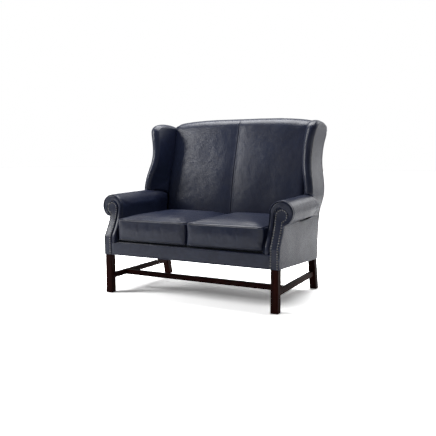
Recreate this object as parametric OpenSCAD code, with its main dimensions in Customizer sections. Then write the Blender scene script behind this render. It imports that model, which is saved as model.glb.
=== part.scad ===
// High back wing settee with scroll arms, a camel back, two loose seat cushions and
// square legs joined by an H-shaped stretcher.
// X runs to the right seen from the front, Y to the rear and Z up. The floor is z = 0 and
// the origin lies on it, under the middle of the piece.

/* [Overall] */
// Height of the back at the top of its curve
back_h = 1080; // [1060:2:1120]
// Width over the upholstered sides, without the arm rolls
side_w = 1136; // [1110:2:1240]
// Depth of the base, from the front of the legs to the outside back
base_d = 661; // [641:2:701]
// Height of the upholstery's lower edge at the front
front_foot = 237; // [225:1:245]
// Height of the upholstery's lower edge at the rear
rear_foot = 196; // [185:1:210]
// Drop of the back's top line from its middle to the sides
camel_drop = 44; // [30:1:60]
// Further drop of the top line at its rounded corners
corner_drop = 30; // [20:1:40]

/* [Legs and stretchers] */
// Width of each square leg
leg_w = 43; // [38:0.5:48]
// Chamfer along the edges of the show wood
arris = 2; // [1:0.25:3]
// Rake of the back legs, in degrees
leg_rake = 14; // [8:0.5:16]
// Width of the stretchers
stretcher_w = 25; // [20:0.5:28]
// Depth of the stretchers
stretcher_h = 30; // [24:0.5:34]
// Height of the stretchers' lower face above the floor
stretcher_z = 87; // [70:1:110]
// Place of the cross stretcher's front face behind the front of the legs
cross_y = 160; // [130:2:300]
// Thickness of the tenons
tenon_t = 10; // [8:0.5:12]
// Length of the tenons
tenon_l = 20; // [14:0.5:22]

/* [Seat] */
// Thickness of the seat rails
rail_t = 25; // [20:0.5:30]
// Height of the seat rails' top
rail_top = 308; // [304:0.5:310]
// Height of the front border's top
border_top = 317; // [315:0.5:320]
// Height of the seat platform's top
platform_top = 330; // [326:0.5:336]
// Height of a seat cushion at its seams
cushion_h = 122; // [100:1:130]
// Rise of a seat cushion's crown above its seams
cushion_crown = 34; // [20:1:40]
// Bulge of a seat cushion's boxing
cushion_bulge = 7; // [3:0.5:8]
// Gap between the two cushions
cushion_gap = 4; // [3:0.5:10]
// Gap between a cushion and the arm beside it
cushion_side_gap = 8; // [7:0.5:14]

/* [Arms] */
// Radius of the arm roll
roll_r = 67; // [62:0.5:70]
// Height of the arm roll's axis
roll_z = 530; // [520:1:545]
// How far the roll's axis lies inside the side of the settee
roll_inset = 15; // [12:0.5:20]
// Rise of the roll's top from the front to the wing
roll_rise = 9; // [4:0.5:12]
// How far the arm's front is set back at its top
arm_setback = 70; // [60:1:80]
// Height where the setback starts
setback_low = 345; // [335:1:360]
// Height where the setback is whole
setback_high = 540; // [535:1:555]
// Place of the roll's outer end behind the front of the legs
roll_end = 520; // [500:1:530]
// Width of the arm facing below its scroll
facing_w = 51; // [47:0.5:53]
// Radius of the facing's scroll
facing_r = 39; // [36:0.25:41]
// Height of the scroll's centre
facing_z = 516; // [512:0.5:520]
// Thickness of the arm facing
facing_t = 6; // [5:0.25:7]
// Thickness of the arm posts
post_t = 30; // [24:0.5:34]

/* [Back and wings] */
// Rake of the back, in degrees
back_rake = 11.3; // [9:0.1:12]
// Height where the back starts to rake
knee_z = 350; // [330:1:370]
// Thickness of the back over the lumbar swell
back_t_low = 103; // [96:1:108]
// Thickness of the back under its top roll
back_t_top = 76; // [70:1:82]
// Height of the roll over the back's top edge
top_roll_h = 58; // [50:1:64]
// How far the wing's top lies below the back's top
wing_drop = 30; // [20:1:44]
// Place of the wing's lowest front point behind the front of the legs
wing_front = 453; // [440:1:465]
// Outward flare of the wing's foot and top over the side of the settee
flare = 22; // [15:0.5:24]
// Inward waist of the wing at its middle
waist = 8; // [4:0.5:10]
// How far the root of the wing's inner face lies inside the side
root_inset = 83; // [76:1:90]
// Radius of the roll along the wing's edge
wing_roll_r = 25; // [23.5:0.25:27]
// Width of the leather turned over the wing's edge to the nails
wing_wrap = 22; // [20:0.25:23]
// Thickness of the wing boards
board_t = 12; // [10:0.5:13]

/* [Trim] */
// Thickness of the leather covers with their lining
cover_t = 5; // [4:0.25:5.5]
// Radius of the piping
piping_r = 4; // [3:0.25:4.5]
// Diameter of a nail's head
nail_d = 9.5; // [8.5:0.25:11]
// Rise of a nail's head
nail_rise = 3.2; // [2.5:0.1:4]
// Distance from one nail to the next
nail_pitch = 13; // [12:0.25:18]
// Distance of the nails from the edge of the facing
nail_inset = 7.25; // [6:0.25:8]

/* [Hidden] */

// Running gap between neighbouring pieces, gap round a tenon, and overrun of cuts
fit_gap = 0.3;
tenon_gap = 0.2;
overrun = 1;
// Depth of the back frame's timber, and the width of its posts
frame_d = 40;
post_w = 40;
// Heights of the crest rail and of the lower back rail, and the stile's width
crest_h = 72;
lower_rail_h = 60;
stile_w = 44;
// Cover over the crest rail and over the post's top
crest_cover = 22;
// Clearance of the frame above the upholstery's lower edge, and the dust cover
foot_fold = 3;
dust_t = 1.5;
dust_low = foot_fold - fit_gap - dust_t;
// Seat brace
brace_w = 40;
brace_h = 43;
// Corner blocks: length along each rail, rise over the rails' lower edge, and height
block_l = 70;
block_rise = 22;
block_h = 30;
// Webbing: thickness, width of a strap, its weave, and the numbers of straps
web_t = 2.2;
web_w = 58;
web_gap = 0.4;
web_overlap = 18;
long_count = 8;
cross_count = 5;
back_count = 6;
// Front edge of the platform behind the front of the legs
platform_front = 14;
// Swell of the arm's inner face beyond the roll
arm_swell = 5;
// Rounded ends of the arm's padding, and its stand before the facing
arm_nose = 12;
arm_tail = 16;
arm_puff = 3;
// The foam core lies this far inside a cushion's cover
core_wall = 14;
// The wing board stands this far inside the wing's edge
board_inset = 16;
// Leather turned over the wing's edge along its top
top_wrap = 15;
// The wing's foot stands this far over the arm roll
wing_lift = 1.6;
// The wing's foot is hollowed this much more over the roll's curve
foot_hollow = 14;
// Leather over the inner face of the wing board, at the least
board_cover = 2;
// Land between the wing's edge roll and its root along the top
edge_land = 2;
// Stand of the posts' top below the rear end of the wing's edge
post_drop = 13;
// Height of the flat on the arm rail over its axis
rail_flat = 34;
// The facing's outer edge lies this far inside the side's leather
side_lip = 2;
// The stretchers stand this far inside the middle of the legs
stretcher_shift = 3;
// Length of the cross stretcher's tenons
cross_tenon_l = 12;
// Softness of the bend where the back starts to rake
knee_soft = 70;
// Height of the fullest part of the back, and how much thinner it is at the seat
lumbar_z = 640;
lumbar_drop = 20;
// Radius of a seat cushion's corners, the inset of its bottom and its play to the back
cushion_r = 20;
cushion_edge = 3;
cushion_play = 1;
// Sewn swell of each half of the inside back
back_swell = 6;
// Step along a curve for its slope
slope_step = 1;

// Curves in shares of the sizes that they follow, chosen by hand
setback_ease_share = 0.62;
pinch_share = 0.4;
crease_share = 0.1;
side_bulge_share = 0.3;
nail_ring_share = 0.75;
top_flare_share = 0.9;
camel_power = 4;
corner_power = 24;
wing_edge_shares = [
    [0, 0], [0.006, 0.077], [0.045, 0.257], [0.118, 0.403], [0.175, 0.572],
    [0.196, 0.741], [0.23, 0.876], [0.287, 0.941], [0.39, 0.982], [0.565, 1],
    [0.746, 0.991], [0.882, 0.968], [0.964, 0.939], [1, 0.896]
];
flare_ease_share = 1.3;

// Derived places
side_x = side_w / 2;
leg_x = side_x - cover_t - fit_gap;
leg_in = leg_x - leg_w;
roll_x = side_x - roll_inset;
facing_out = side_x - side_lip;
facing_in = facing_out - facing_w;
arm_in = roll_x - roll_r - arm_swell;
post_out = side_x - cover_t - fit_gap;
roll_top = roll_z + roll_r;
wing_foot = roll_top + roll_rise;
wing_top = back_h - wing_drop;
border_x = facing_in - fit_gap;
back_post_out = side_x - waist - 2 * piping_r - fit_gap;
back_post_in = back_post_out - post_w;
board_out = side_x - waist - cover_t - 2 * fit_gap;
board_in = board_out - board_t;
web_z = rail_top + web_t + web_gap / 2;
web_top = rail_top + 2 * web_t + web_gap;
back_web_t = web_t + fit_gap;
timber_rear = base_d - 2 * piping_r - fit_gap;
back_rail_y = timber_rear - rail_t;
leg_top_y = base_d - leg_w / cos(leg_rake) - fit_gap;
stretcher_x = leg_in + (leg_w - stretcher_w) / 2 - stretcher_shift;
block_z = front_foot + foot_fold + block_rise;
wing_root = side_x - root_inset;
board_foot = facing_z + rail_flat;
half_back = wing_root - fit_gap;
foremost = facing_t + fit_gap + nail_rise;
rearmost = rear(back_h - piping_r);
middle_y = (rearmost - foremost) / 2;
half_cushion = arm_in - cushion_side_gap;
core_top = platform_top + cushion_h - core_wall / 2;

// Plain helpers
function clamp(v, lo, hi) = max(lo, min(hi, v));
function mix(a, b, t) = a + (b - a) * t;
function swell(t) = (1 - cos(180 * clamp(t, 0, 1))) / 2;
function ramp(u, w) = (u + sqrt(u * u + w * w)) / 2;
function unit(v) = v / norm(v);
function total(v) = v * [for (x = v) 1];
function flip(v) = [for (i = [len(v) - 1 : -1 : 0]) v[i]];

// Smooth curve through points
function spline_at(a, b, c, d, t) =
    (2 * b + (c - a) * t + (2 * a - 5 * b + 4 * c - d) * t * t
     + (3 * b - a - 3 * c + d) * t * t * t) / 2;
function spline(p, steps) = let (n = len(p) - 1) [
    for (i = [0 : n - 1], k = [0 : steps - 1])
        spline_at(p[max(i - 1, 0)], p[i], p[i + 1], p[min(i + 2, n)], k / steps),
    p[n]
];
// Lengths along a path to each of its points, and points spaced evenly along it
function run(p) = [
    for (i = 0, d = 0; i < len(p); d = d + (i < len(p) - 1 ? norm(p[i + 1] - p[i]) : 0), i = i + 1) d
];
function spaced(p, pitch) = let (d = run(p), whole = d[len(d) - 1], n = round(whole / pitch)) [
    for (k = [0 : n]) [
        for (axis = [0 : 1])
            lookup(whole * k / n, [for (i = [0 : len(p) - 1]) [d[i], p[i][axis]]])
    ]
];
// Unit vector square to a path, to the right of its run
function inward(p, i) = let (t = unit(p[min(i + 1, len(p) - 1)] - p[max(i - 1, 0)])) [t[1], -t[0]];

// Surfaces of the settee
// Lower edge of the upholstery
function foot(y) = mix(front_foot, rear_foot, y / base_d);
// Front of the arm's timber
function arm_front(z) = arm_setback
    * swell(pow(clamp((z - setback_low) / (setback_high - setback_low), 0, 1), setback_ease_share));
function arm_slope(z) = (arm_front(z + slope_step) - arm_front(z - slope_step)) / (2 * slope_step);
// Outside of the back
function rear(z) = base_d + tan(back_rake) * ramp(z - knee_z, knee_soft)
    - tan(back_rake) * ramp(rear_foot - knee_z, knee_soft);
// Front of the back frame, and the front of the back's webbing
function frame_front(z) = rear(z) - cover_t - fit_gap - frame_d;
function web_front(z) = frame_front(z) - back_web_t;
// Thickness and front surface of the back
function back_t(z) = z < lumbar_z
    ? back_t_low - lumbar_drop * pow((lumbar_z - z) / (lumbar_z - platform_top), 2)
    : mix(back_t_low, back_t_top, swell((z - lumbar_z) / (back_h - lumbar_z)));
function back_front(z) = rear(z) - back_t(z);
// Top line of the back
function camel(x) = back_h - camel_drop * pow(abs(x) / side_x, camel_power)
    - corner_drop * pow(abs(x) / side_x, corner_power);
// Outside of the sides and wings
function side_out(z) = let (low = roll_z - roll_r, mid = (wing_foot + wing_top) / 2)
    z < low ? side_x
    : z < wing_foot ? side_x + flare * swell((z - low) / (wing_foot - low))
    : z < mid ? mix(side_x + flare, side_x - waist, swell((z - wing_foot) / (mid - wing_foot)))
    : mix(side_x - waist, side_x + flare * top_flare_share,
          swell(pow(clamp((z - mid) / (wing_top - mid), 0, 1), flare_ease_share)));
// Inner face of the wing: it follows the roll at its edge and the back at its root
function wing_in(y, z) = min(board_in - board_cover, mix(side_out(z) - 2 * wing_roll_r, wing_root,
    clamp((y - wing_front - wing_roll_r) / (web_front(z) - wing_front - 2 * wing_roll_r), 0, 1)));
// Top of the arm roll over a place beside its axis
function roll_over(x) = wing_foot - roll_r
    + sqrt(max(0, roll_r * roll_r - (x - roll_x) * (x - roll_x)));

// Edge of the wing seen from the side, from its foot over its top to the rear
wing_rear_z = mix(wing_foot, wing_top, wing_edge_shares[len(wing_edge_shares) - 1][1]);
wing_run = rear(wing_rear_z) - 2 * piping_r - fit_gap - wing_front;
wing_edge = spline([for (s = wing_edge_shares)
    [wing_front + wing_run * s[0], mix(wing_foot, wing_top, s[1])]], 2);
function wing_inset(d) = [for (i = [0 : len(wing_edge) - 1]) wing_edge[i] + inward(wing_edge, i) * d];
// Width of the leather turned over the edge at each point: narrow from the top on
wing_turn = 14;
function wrap_at(i) = mix(wing_wrap, top_wrap, swell((i - wing_turn) / 5));

// Solid from points and faces, with its faces turned the way the kernel wants
module solid(points, faces) {
    volume = total([for (f = faces) points[f[0]] * cross(points[f[1]], points[f[2]])]);
    polyhedron(points, volume > 0 ? [for (f = faces) [f[0], f[2], f[1]]] : faces, convexity = 6);
}

function skin_faces(m, n) = [
    for (r = [0 : m - 2], i = [0 : n - 1])
        let (a = r * n + i, b = r * n + (i + 1) % n)
        each [[a, b, b + n], [a, b + n, a + n]]
];

// Solid through rings that are bands: the first half of a ring runs along its outer
// face and the second half comes back along its inner face
module band_loft(rings) {
    m = len(rings);
    n = len(rings[0]);
    last = (m - 1) * n;
    first_cap = [for (i = [0 : n / 2 - 2]) let (j = n - 1 - i) each [[i + 1, i, j], [i + 1, j, j - 1]]];
    last_cap = [for (i = [0 : n / 2 - 2]) let (j = n - 1 - i)
        each [[last + i, last + i + 1, last + j - 1], [last + i, last + j - 1, last + j]]];
    solid([for (r = rings) each r], concat(skin_faces(m, n), first_cap, last_cap));
}

// Solid through rings that are closed loops, with a point in the middle of each end
module loop_loft(rings, start, end) {
    m = len(rings);
    n = len(rings[0]);
    first_cap = [for (i = [0 : n - 1]) [(i + 1) % n, i, m * n]];
    last_cap = [for (i = [0 : n - 1]) [(m - 1) * n + i, (m - 1) * n + (i + 1) % n, m * n + 1]];
    solid(concat([for (r = rings) each r], [start, end]),
        concat(skin_faces(m, n), first_cap, last_cap));
}

// Puts a piece from the front-edge frame into the settee's own frame
module settled() {
    translate([0, -middle_y, 0]) children();
}

// Puts a right-hand piece on its side
module on(side) {
    settled() mirror([side == "left" ? 1 : 0, 0, 0]) children();
}

// Outline in the side view, given as [y, z], made solid from x = a to x = b
module side_cut(a, b, outline) {
    translate([a, 0, 0]) rotate([90, 0, 90]) linear_extrude(b - a) polygon(outline);
}

// Outline in the front view, given as [x, z], made solid from y = a to y = b
module front_cut(a, b, outline) {
    translate([0, b, 0]) rotate([90, 0, 0]) linear_extrude(b - a) polygon(outline);
}

// Square bar standing up from the origin, with its long edges chamfered
module bar(w, d, l) {
    linear_extrude(l) polygon([
        [arris, 0], [w - arris, 0], [w, arris], [w, d - arris],
        [w - arris, d], [arris, d], [0, d - arris], [0, arris]
    ]);
}

// Legs
module front_leg() {
    color([0.13, 0.05, 0.03]) difference() {
        translate([leg_in, 0, 0]) bar(leg_w, leg_w, rail_top);
        stretcher_tenon(leg_w - tenon_l - tenon_gap, leg_w + overrun, tenon_gap);
    }
}

function leg_front(z) = leg_top_y + (rear_foot - z) * tan(leg_rake);

module back_leg() {
    d = leg_w / cos(leg_rake);
    color([0.13, 0.05, 0.03]) difference() {
        union() {
            intersection() {
                translate([leg_in, leg_front(0) + overrun * tan(leg_rake), -overrun])
                    rotate([leg_rake, 0, 0])
                    translate([0, 0, -leg_w]) bar(leg_w, leg_w, rear_foot / cos(leg_rake) + 3 * leg_w);
                translate([leg_in - leg_w, 0, 0]) cube([3 * leg_w, 2 * base_d, rear_foot]);
            }
            translate([leg_in, leg_top_y, rear_foot])
                cube([leg_w, timber_rear - leg_top_y, rail_top - rear_foot]);
        }
        stretcher_tenon(0, leg_front(stretcher_z + stretcher_h) + tenon_l + tenon_gap, tenon_gap);
    }
}

// Tenon or, with a gap, the mortise for it, of the side stretcher from y = a to y = b
module stretcher_tenon(a, b, gap) {
    shoulder = (stretcher_h - 2 * tenon_t) / 2;
    translate([stretcher_x + (stretcher_w - tenon_t) / 2 - gap, a, stretcher_z + shoulder - gap])
        cube([tenon_t + 2 * gap, b - a, 2 * tenon_t + 2 * gap]);
}

// Tenon or mortise of the cross stretcher at the right-hand side
module cross_tenon(gap) {
    shoulder = (stretcher_h - 2 * tenon_t) / 2;
    translate([stretcher_x - overrun, cross_y + (stretcher_w - tenon_t) / 2 - gap, stretcher_z + shoulder - gap])
        cube([overrun + cross_tenon_l + gap, tenon_t + 2 * gap, 2 * tenon_t + 2 * gap]);
}

module side_stretcher() {
    low = leg_front(stretcher_z);
    high = leg_front(stretcher_z + stretcher_h);
    color([0.13, 0.05, 0.03]) difference() {
        union() {
            side_cut(stretcher_x, stretcher_x + stretcher_w, [
                [leg_w, stretcher_z], [low, stretcher_z],
                [high, stretcher_z + stretcher_h], [leg_w, stretcher_z + stretcher_h]
            ]);
            stretcher_tenon(leg_w - tenon_l, high + tenon_l, 0);
        }
        cross_tenon(tenon_gap);
    }
}

module cross_stretcher() {
    color([0.13, 0.05, 0.03]) settled() union() {
        translate([-stretcher_x, cross_y, stretcher_z])
            cube([2 * stretcher_x, stretcher_w, stretcher_h]);
        cross_tenon(0);
        mirror([1, 0, 0]) cross_tenon(0);
    }
}

// Seat frame
module front_rail() {
    bottom = foot(0) + foot_fold;
    color([0.78, 0.62, 0.42]) settled()
        translate([-leg_in, 0, bottom]) cube([2 * leg_in, rail_t, rail_top - bottom]);
}

module back_rail() {
    bottom = foot(back_rail_y) + foot_fold;
    color([0.78, 0.62, 0.42]) settled()
        translate([-leg_in, back_rail_y, bottom]) cube([2 * leg_in, rail_t, rail_top - bottom]);
}

module side_rail() {
    color([0.78, 0.62, 0.42]) side_cut(leg_x - rail_t, leg_x, [
        [leg_w, foot(leg_w) + foot_fold], [leg_top_y, foot(leg_top_y) + foot_fold],
        [leg_top_y, rail_top], [leg_w, rail_top]
    ]);
}

module seat_brace() {
    bottom = foot(0) + foot_fold;
    color([0.78, 0.62, 0.42]) settled() translate([-brace_w / 2, rail_t, bottom])
        cube([brace_w, back_rail_y - rail_t, brace_h]);
}

// One corner block, notched round its leg. The rail's face is at y = face, the leg's
// inner face at y = leg_face, and the block runs in the direction of sense.
module corner_block(face, leg_face, sense) {
    translate([0, 0, block_z]) linear_extrude(block_h) polygon([
        [leg_in - block_l, face],
        [leg_in - fit_gap, face],
        [leg_in - fit_gap, leg_face + sense * fit_gap],
        [leg_x - rail_t, leg_face + sense * fit_gap],
        [leg_x - rail_t, leg_face + sense * block_l]
    ]);
}

module corner_blocks() {
    color([0.78, 0.62, 0.42]) for (side = ["left", "right"]) on(side) {
        corner_block(rail_t, leg_w, 1);
        corner_block(back_rail_y, leg_top_y, -1);
    }
}

// Back frame
// Timber of the back between two heights, following the rake
function back_timber(low, high) = let (n = 24) concat(
    [for (k = [0 : n]) let (z = mix(low, high, k / n)) [frame_front(z), z]],
    [for (k = [n : -1 : 0]) let (z = mix(low, high, k / n)) [frame_front(z) + frame_d, z]]
);
post_top = wing_rear_z - post_drop;

module back_post() {
    color([0.78, 0.62, 0.42])
        side_cut(back_post_in, back_post_out, back_timber(rail_top, post_top));
}

function camel_line(x, lift) = [for (k = [-10 : 10]) [x * k / 10, camel(x * k / 10) + lift]];
crest_low = post_top - crest_h;

module crest_rail() {
    color([0.78, 0.62, 0.42]) settled() intersection() {
        side_cut(-back_post_in, back_post_in, back_timber(crest_low, back_h));
        front_cut(0, 2 * base_d, concat(
            camel_line(half_back, -crest_cover - cover_t),
            [[half_back, post_top], [back_post_in, post_top], [back_post_in, crest_low],
             [-back_post_in, crest_low], [-back_post_in, post_top], [-half_back, post_top]]));
    }
}

module lower_back_rail() {
    color([0.78, 0.62, 0.42]) settled()
        side_cut(-back_post_in, back_post_in, back_timber(platform_top, platform_top + lower_rail_h));
}

module back_stile() {
    color([0.78, 0.62, 0.42]) settled()
        side_cut(-stile_w / 2, stile_w / 2, back_timber(platform_top + lower_rail_h, crest_low));
}

module wing_board() {
    path = wing_inset(board_inset);
    edge = [for (i = [0 : len(path) - 1]) if (i != 1 && path[i][0] < frame_front(path[i][1]) - fit_gap) path[i]];
    top = edge[len(edge) - 1];
    color([0.78, 0.62, 0.42]) side_cut(board_in, board_out, concat(
        [[roll_end, board_foot], [roll_end, wing_foot + fit_gap], [edge[0][0] + overrun, wing_foot + fit_gap]],
        [for (p = edge) if (p[1] > wing_foot + overrun) p],
        [for (k = [0 : 12]) let (z = mix(top[1] - overrun, board_foot, k / 12)) [frame_front(z) - fit_gap, z]]
    ));
}

// Arms
// Outline of a scroll-headed panel in the front view
module scroll_outline(a, b, r) {
    union() {
        polygon([[a, front_foot], [b, front_foot], [b, facing_z], [a, facing_z]]);
        translate([roll_x, facing_z]) circle(r, $fn = 96);
    }
}

// Slab that follows the arm's front, from ahead to behind of the timber's face
module front_slab(ahead, behind) {
    n = 22;
    z = [for (k = [0 : n]) mix(setback_low, setback_high, k / n)];
    low = front_foot - overrun;
    high = roll_top + roll_r;
    path = concat([low], z, [high]);
    side_cut(facing_in - roll_r, side_x + 2 * roll_r, concat(
        [for (h = path) [arm_front(h) - ahead, h]],
        [for (h = flip(path)) [arm_front(h) + behind, h]]
    ));
}

module scroll_panel(a, b, r, ahead, behind) {
    intersection() {
        translate([0, base_d, 0]) rotate([90, 0, 0]) linear_extrude(base_d + 2 * roll_r)
            scroll_outline(a, b, r);
        front_slab(ahead, behind);
    }
}

module arm_facing() {
    color([0.07, 0.08, 0.12]) scroll_panel(facing_in, facing_out, facing_r, facing_t, 0);
}

module arm_post() {
    color([0.78, 0.62, 0.42]) intersection() {
        scroll_panel(facing_in, post_out, facing_r, 0, post_t);
        translate([0, -base_d, rail_top]) cube([2 * side_w, 2 * base_d, back_h]);
    }
}

module arm_rail() {
    start = arm_setback + post_t;
    end = frame_front(facing_z - facing_r) - fit_gap;
    stop = wing_front - arm_tail - fit_gap;
    color([0.78, 0.62, 0.42]) intersection() {
        translate([roll_x, end, facing_z]) rotate([90, 0, 0])
            cylinder(h = end - start, r = facing_r, $fn = 96);
        union() {
            cube([2 * side_w, stop, board_foot]);
            cube([board_out, end, board_foot]);
        }
    }
}

// Arm pad: a band from the platform up the inner face, over the roll and round to the
// outside arm. It has rise_count points up the face and turn_count steps round the roll.
arm_low = border_top + fit_gap;
rise_count = 6;
turn_count = 16;
crest_index = 12;
cavity_r = (facing_r + fit_gap) / cos(270 / (2 * turn_count));
side_turn = acos(roll_inset / roll_r);
cavity_turn = acos((facing_out + fit_gap - roll_x) / cavity_r);
function arm_outer(lift) = concat(
    [for (k = [0 : rise_count - 1])
        [mix(arm_in, roll_x - roll_r, swell(k / rise_count)), mix(arm_low, roll_z + lift, k / rise_count)]],
    [for (k = [0 : turn_count]) let (a = mix(180, -side_turn, k / turn_count))
        [roll_x + roll_r * cos(a), roll_z + lift + roll_r * sin(a)]]
);
arm_inner = concat(
    [for (k = [0 : rise_count - 1]) [facing_in - fit_gap, mix(arm_low, facing_z, k / rise_count)]],
    [for (k = [0 : turn_count]) let (a = mix(180, -cavity_turn, k / turn_count))
        [roll_x + cavity_r * cos(a), facing_z + cavity_r * sin(a)]]
);
// Rear end of the band at each of its points: at the back inside, under the wing on top,
// and at the roll's end outside
function arm_end(k, z) =
    k < crest_index - 2 ? back_front(max(z, platform_top)) - fit_gap
    : k == crest_index - 2 ? roll_end - fit_gap
    : k == crest_index - 1 ? wing_front + wing_roll_r
    : mix(wing_front, roll_end, swell((k - crest_index) / 5));
// One ring of the band. Pinch draws its faces together, and close brings the inner face
// of the outer half up to the wing board, so that the roll's end is shut.
function arm_ring(pinch, lift, y, close = 0) = let (
    outer = arm_outer(lift), n = len(outer),
    draw = [for (k = [0 : n - 1]) close > 0 && k < crest_index - 1 ? pinch * crease_share : pinch],
    shut = [for (k = [0 : n - 1]) k < crest_index ? arm_inner[k]
        : mix(arm_inner[k], [board_out + fit_gap, arm_inner[k][1]], close)],
    a = [for (k = [0 : n - 1]) mix(outer[k], arm_inner[k], draw[k])],
    b = [for (k = [0 : n - 1]) mix(shut[k], outer[k], k < crest_index ? draw[k] : 0)]
) concat(
    [for (k = [0 : n - 1]) [a[k][0], y[k], a[k][1]]],
    [for (k = [n - 1 : -1 : 0]) [b[k][0], y[k], b[k][1]]]
);

module arm_pad() {
    outer = arm_outer(0);
    n = len(outer);
    front = [for (p = outer) arm_front(p[1]) - facing_t - arm_puff];
    back = [for (k = [0 : n - 1]) arm_end(k, outer[k][1]) - arm_tail];
    color([0.07, 0.08, 0.12]) band_loft(concat(
        [for (a = [90, 60, 35, 0])
            arm_ring(pinch_share * (1 - cos(a)), 0, [for (y = front) y + arm_nose * (1 - sin(a))])],
        [for (t = [0.35, 0.7])
            arm_ring(0, roll_rise * t, [for (k = [0 : n - 1]) mix(front[k] + arm_nose, back[k], t)])],
        [for (a = [0, 40, 90])
            arm_ring(pinch_share * (1 - cos(a)), roll_rise, [for (y = back) y + arm_tail * sin(a)], a / 90)]
    ));
}

under_roll = roll_z - sqrt(roll_r * roll_r - roll_inset * roll_inset) - fit_gap;

module outside_arm() {
    n = 10;
    color([0.07, 0.08, 0.12]) side_cut(side_x - cover_t, side_x, concat(
        [[fit_gap, foot(0)], [fit_gap, setback_low]],
        [for (k = [1 : n]) let (z = mix(setback_low, under_roll, k / n)) [arm_front(z) + fit_gap, z]],
        [for (k = [0 : n]) let (z = mix(under_roll, foot(base_d), k / n)) [rear(z) - 2 * piping_r - fit_gap, z]]
    ));
}

// Wings
// Leather of the wing: each ring starts at the nail line, goes round the edge and along
// the inner face to the root, and comes back round the wing board
wing_last = max([for (i = [0 : len(wing_edge) - 1])
    if (wing_edge[i][0] < web_front(wing_edge[i][1]) - wing_roll_r) i]);

function wing_root_point(i) = i <= wing_last
    ? let (z = mix(wing_foot, wing_top - 2 * wing_roll_r, i / wing_last)) [web_front(z) - fit_gap, z]
    : wing_edge[i] + inward(wing_edge, i) * (wing_roll_r + edge_land);

function wing_ring(i) = let (
    p = wing_edge[i], n = inward(wing_edge, i), q = wing_root_point(i),
    start = acos(1 - wrap_at(i) / wing_roll_r),
    arc = [for (k = [0 : 7]) mix(start, -90, k / 7)],
    flat = [for (t = [0.2, 0.4, 0.55, 0.7, 1]) mix(p + n * wing_roll_r, q, t)],
    outer = concat(
        [for (a = arc) let (
            s = p + n * wing_roll_r * (1 - cos(a)),
            x1 = side_out(s[1]), x0 = wing_in(s[0], s[1]))
            [(x1 + x0) / 2 + (x1 - x0) / 2 * sin(a), s[0], s[1]]],
        [for (s = flat) [wing_in(s[0], s[1]), s[0], s[1]]]
    ),
    inner = concat(
        [for (k = [0 : 3]) let (s = p + n * mix(wrap_at(i), board_inset - board_cover - fit_gap, k / 3))
            [board_out + fit_gap, s[0], s[1]]],
        [for (k = [0 : 3]) let (s = p + n * (board_inset - board_cover - fit_gap))
            [mix(board_out + fit_gap, board_in - fit_gap, (k + 1) / 4), s[0], s[1]]],
        [for (s = flat) [board_in - fit_gap, s[0], s[1]]]
    ),
    ring = concat(outer, flip(inner)),
    low = [for (k = [0 : len(ring) - 1])
        roll_over(ring[k][0]) + wing_lift + (k < len(outer) ? 0 : foot_hollow)]
) i > 0 ? ring : [for (k = [0 : len(ring) - 1])
    [ring[k][0], min(ring[k][1], web_front(low[k]) - fit_gap), low[k]]];

module inside_wing() {
    color([0.07, 0.08, 0.12]) band_loft([for (i = [0 : len(wing_edge) - 1]) if (i != 1) wing_ring(i)]);
}

// Cover of the wing's outside with the padding between it and the wing board
module outside_wing() {
    n = 32;
    low = under_roll + fit_gap;
    z = [for (k = [0 : n]) mix(low, wing_top, k / n)];
    seam = [for (i = [0 : len(wing_edge) - 1]) wing_edge[i] + inward(wing_edge, i) * (wrap_at(i) + 3 * fit_gap)];
    nails = [for (p = seam) if (p[1] > wing_foot + overrun && p[0] < rear(p[1]) - 2 * piping_r - overrun) p];
    over = arm_outer(roll_rise);
    last = nails[len(nails) - 1][1] - overrun;
    color([0.07, 0.08, 0.12]) intersection() {
        front_cut(0, 2 * base_d, concat(
            [for (h = z) [side_out(h), h]],
            [[board_out + 2 * fit_gap, wing_top], [board_out + 2 * fit_gap, low]]
        ));
        side_cut(0, side_w, concat(
            [[roll_end + fit_gap, low], [roll_end + fit_gap, roll_z]],
            [for (k = [crest_index + 4 : -1 : crest_index + 2])
                [arm_end(k, 0) + 4 * fit_gap, mix(over[k][1], arm_inner[k][1], 0.4)]],
            [[nails[0][0], wing_foot + 2 * fit_gap]],
            nails,
            [for (k = [0 : 20]) let (h = mix(last, low, k / 20)) [rear(h) - 2 * piping_r - fit_gap, h]]
        ));
    }
}

// Back
function back_ring(x) = let (
    top = camel(x), low = platform_top + fit_gap, start = top - top_roll_h,
    end = rear(top - crest_cover) - 2 * piping_r - fit_gap,
    half = abs(x) / half_back,
    puff = back_swell * (1 - pow(abs(2 * half - 1), 3)),
    front = [for (k = [0 : 9]) let (z = mix(low, start, k / 10))
        [x, back_front(z) - puff * swell(3 * k / 10), z]],
    roll = [for (k = [0 : 6]) let (a = 90 * k / 6)
        [x, end - (end - back_front(start) + puff * cos(a)) * cos(a), start + top_roll_h * sin(a)]],
    crest = top - crest_cover + fit_gap,
    rise = [for (k = [0 : 10]) let (z = mix(low, crest, k / 10)) [x, web_front(z) - fit_gap, z]],
    over = [for (k = [1 : 6]) [x, mix(web_front(crest) - fit_gap, end, k / 6), crest]]
) concat(front, roll, flip(concat(rise, over)));

module inside_back() {
    stations = [for (k = [-8 : 8]) half_back * k / 8];
    color([0.07, 0.08, 0.12]) settled() band_loft([for (x = stations) back_ring(x)]);
}

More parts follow.
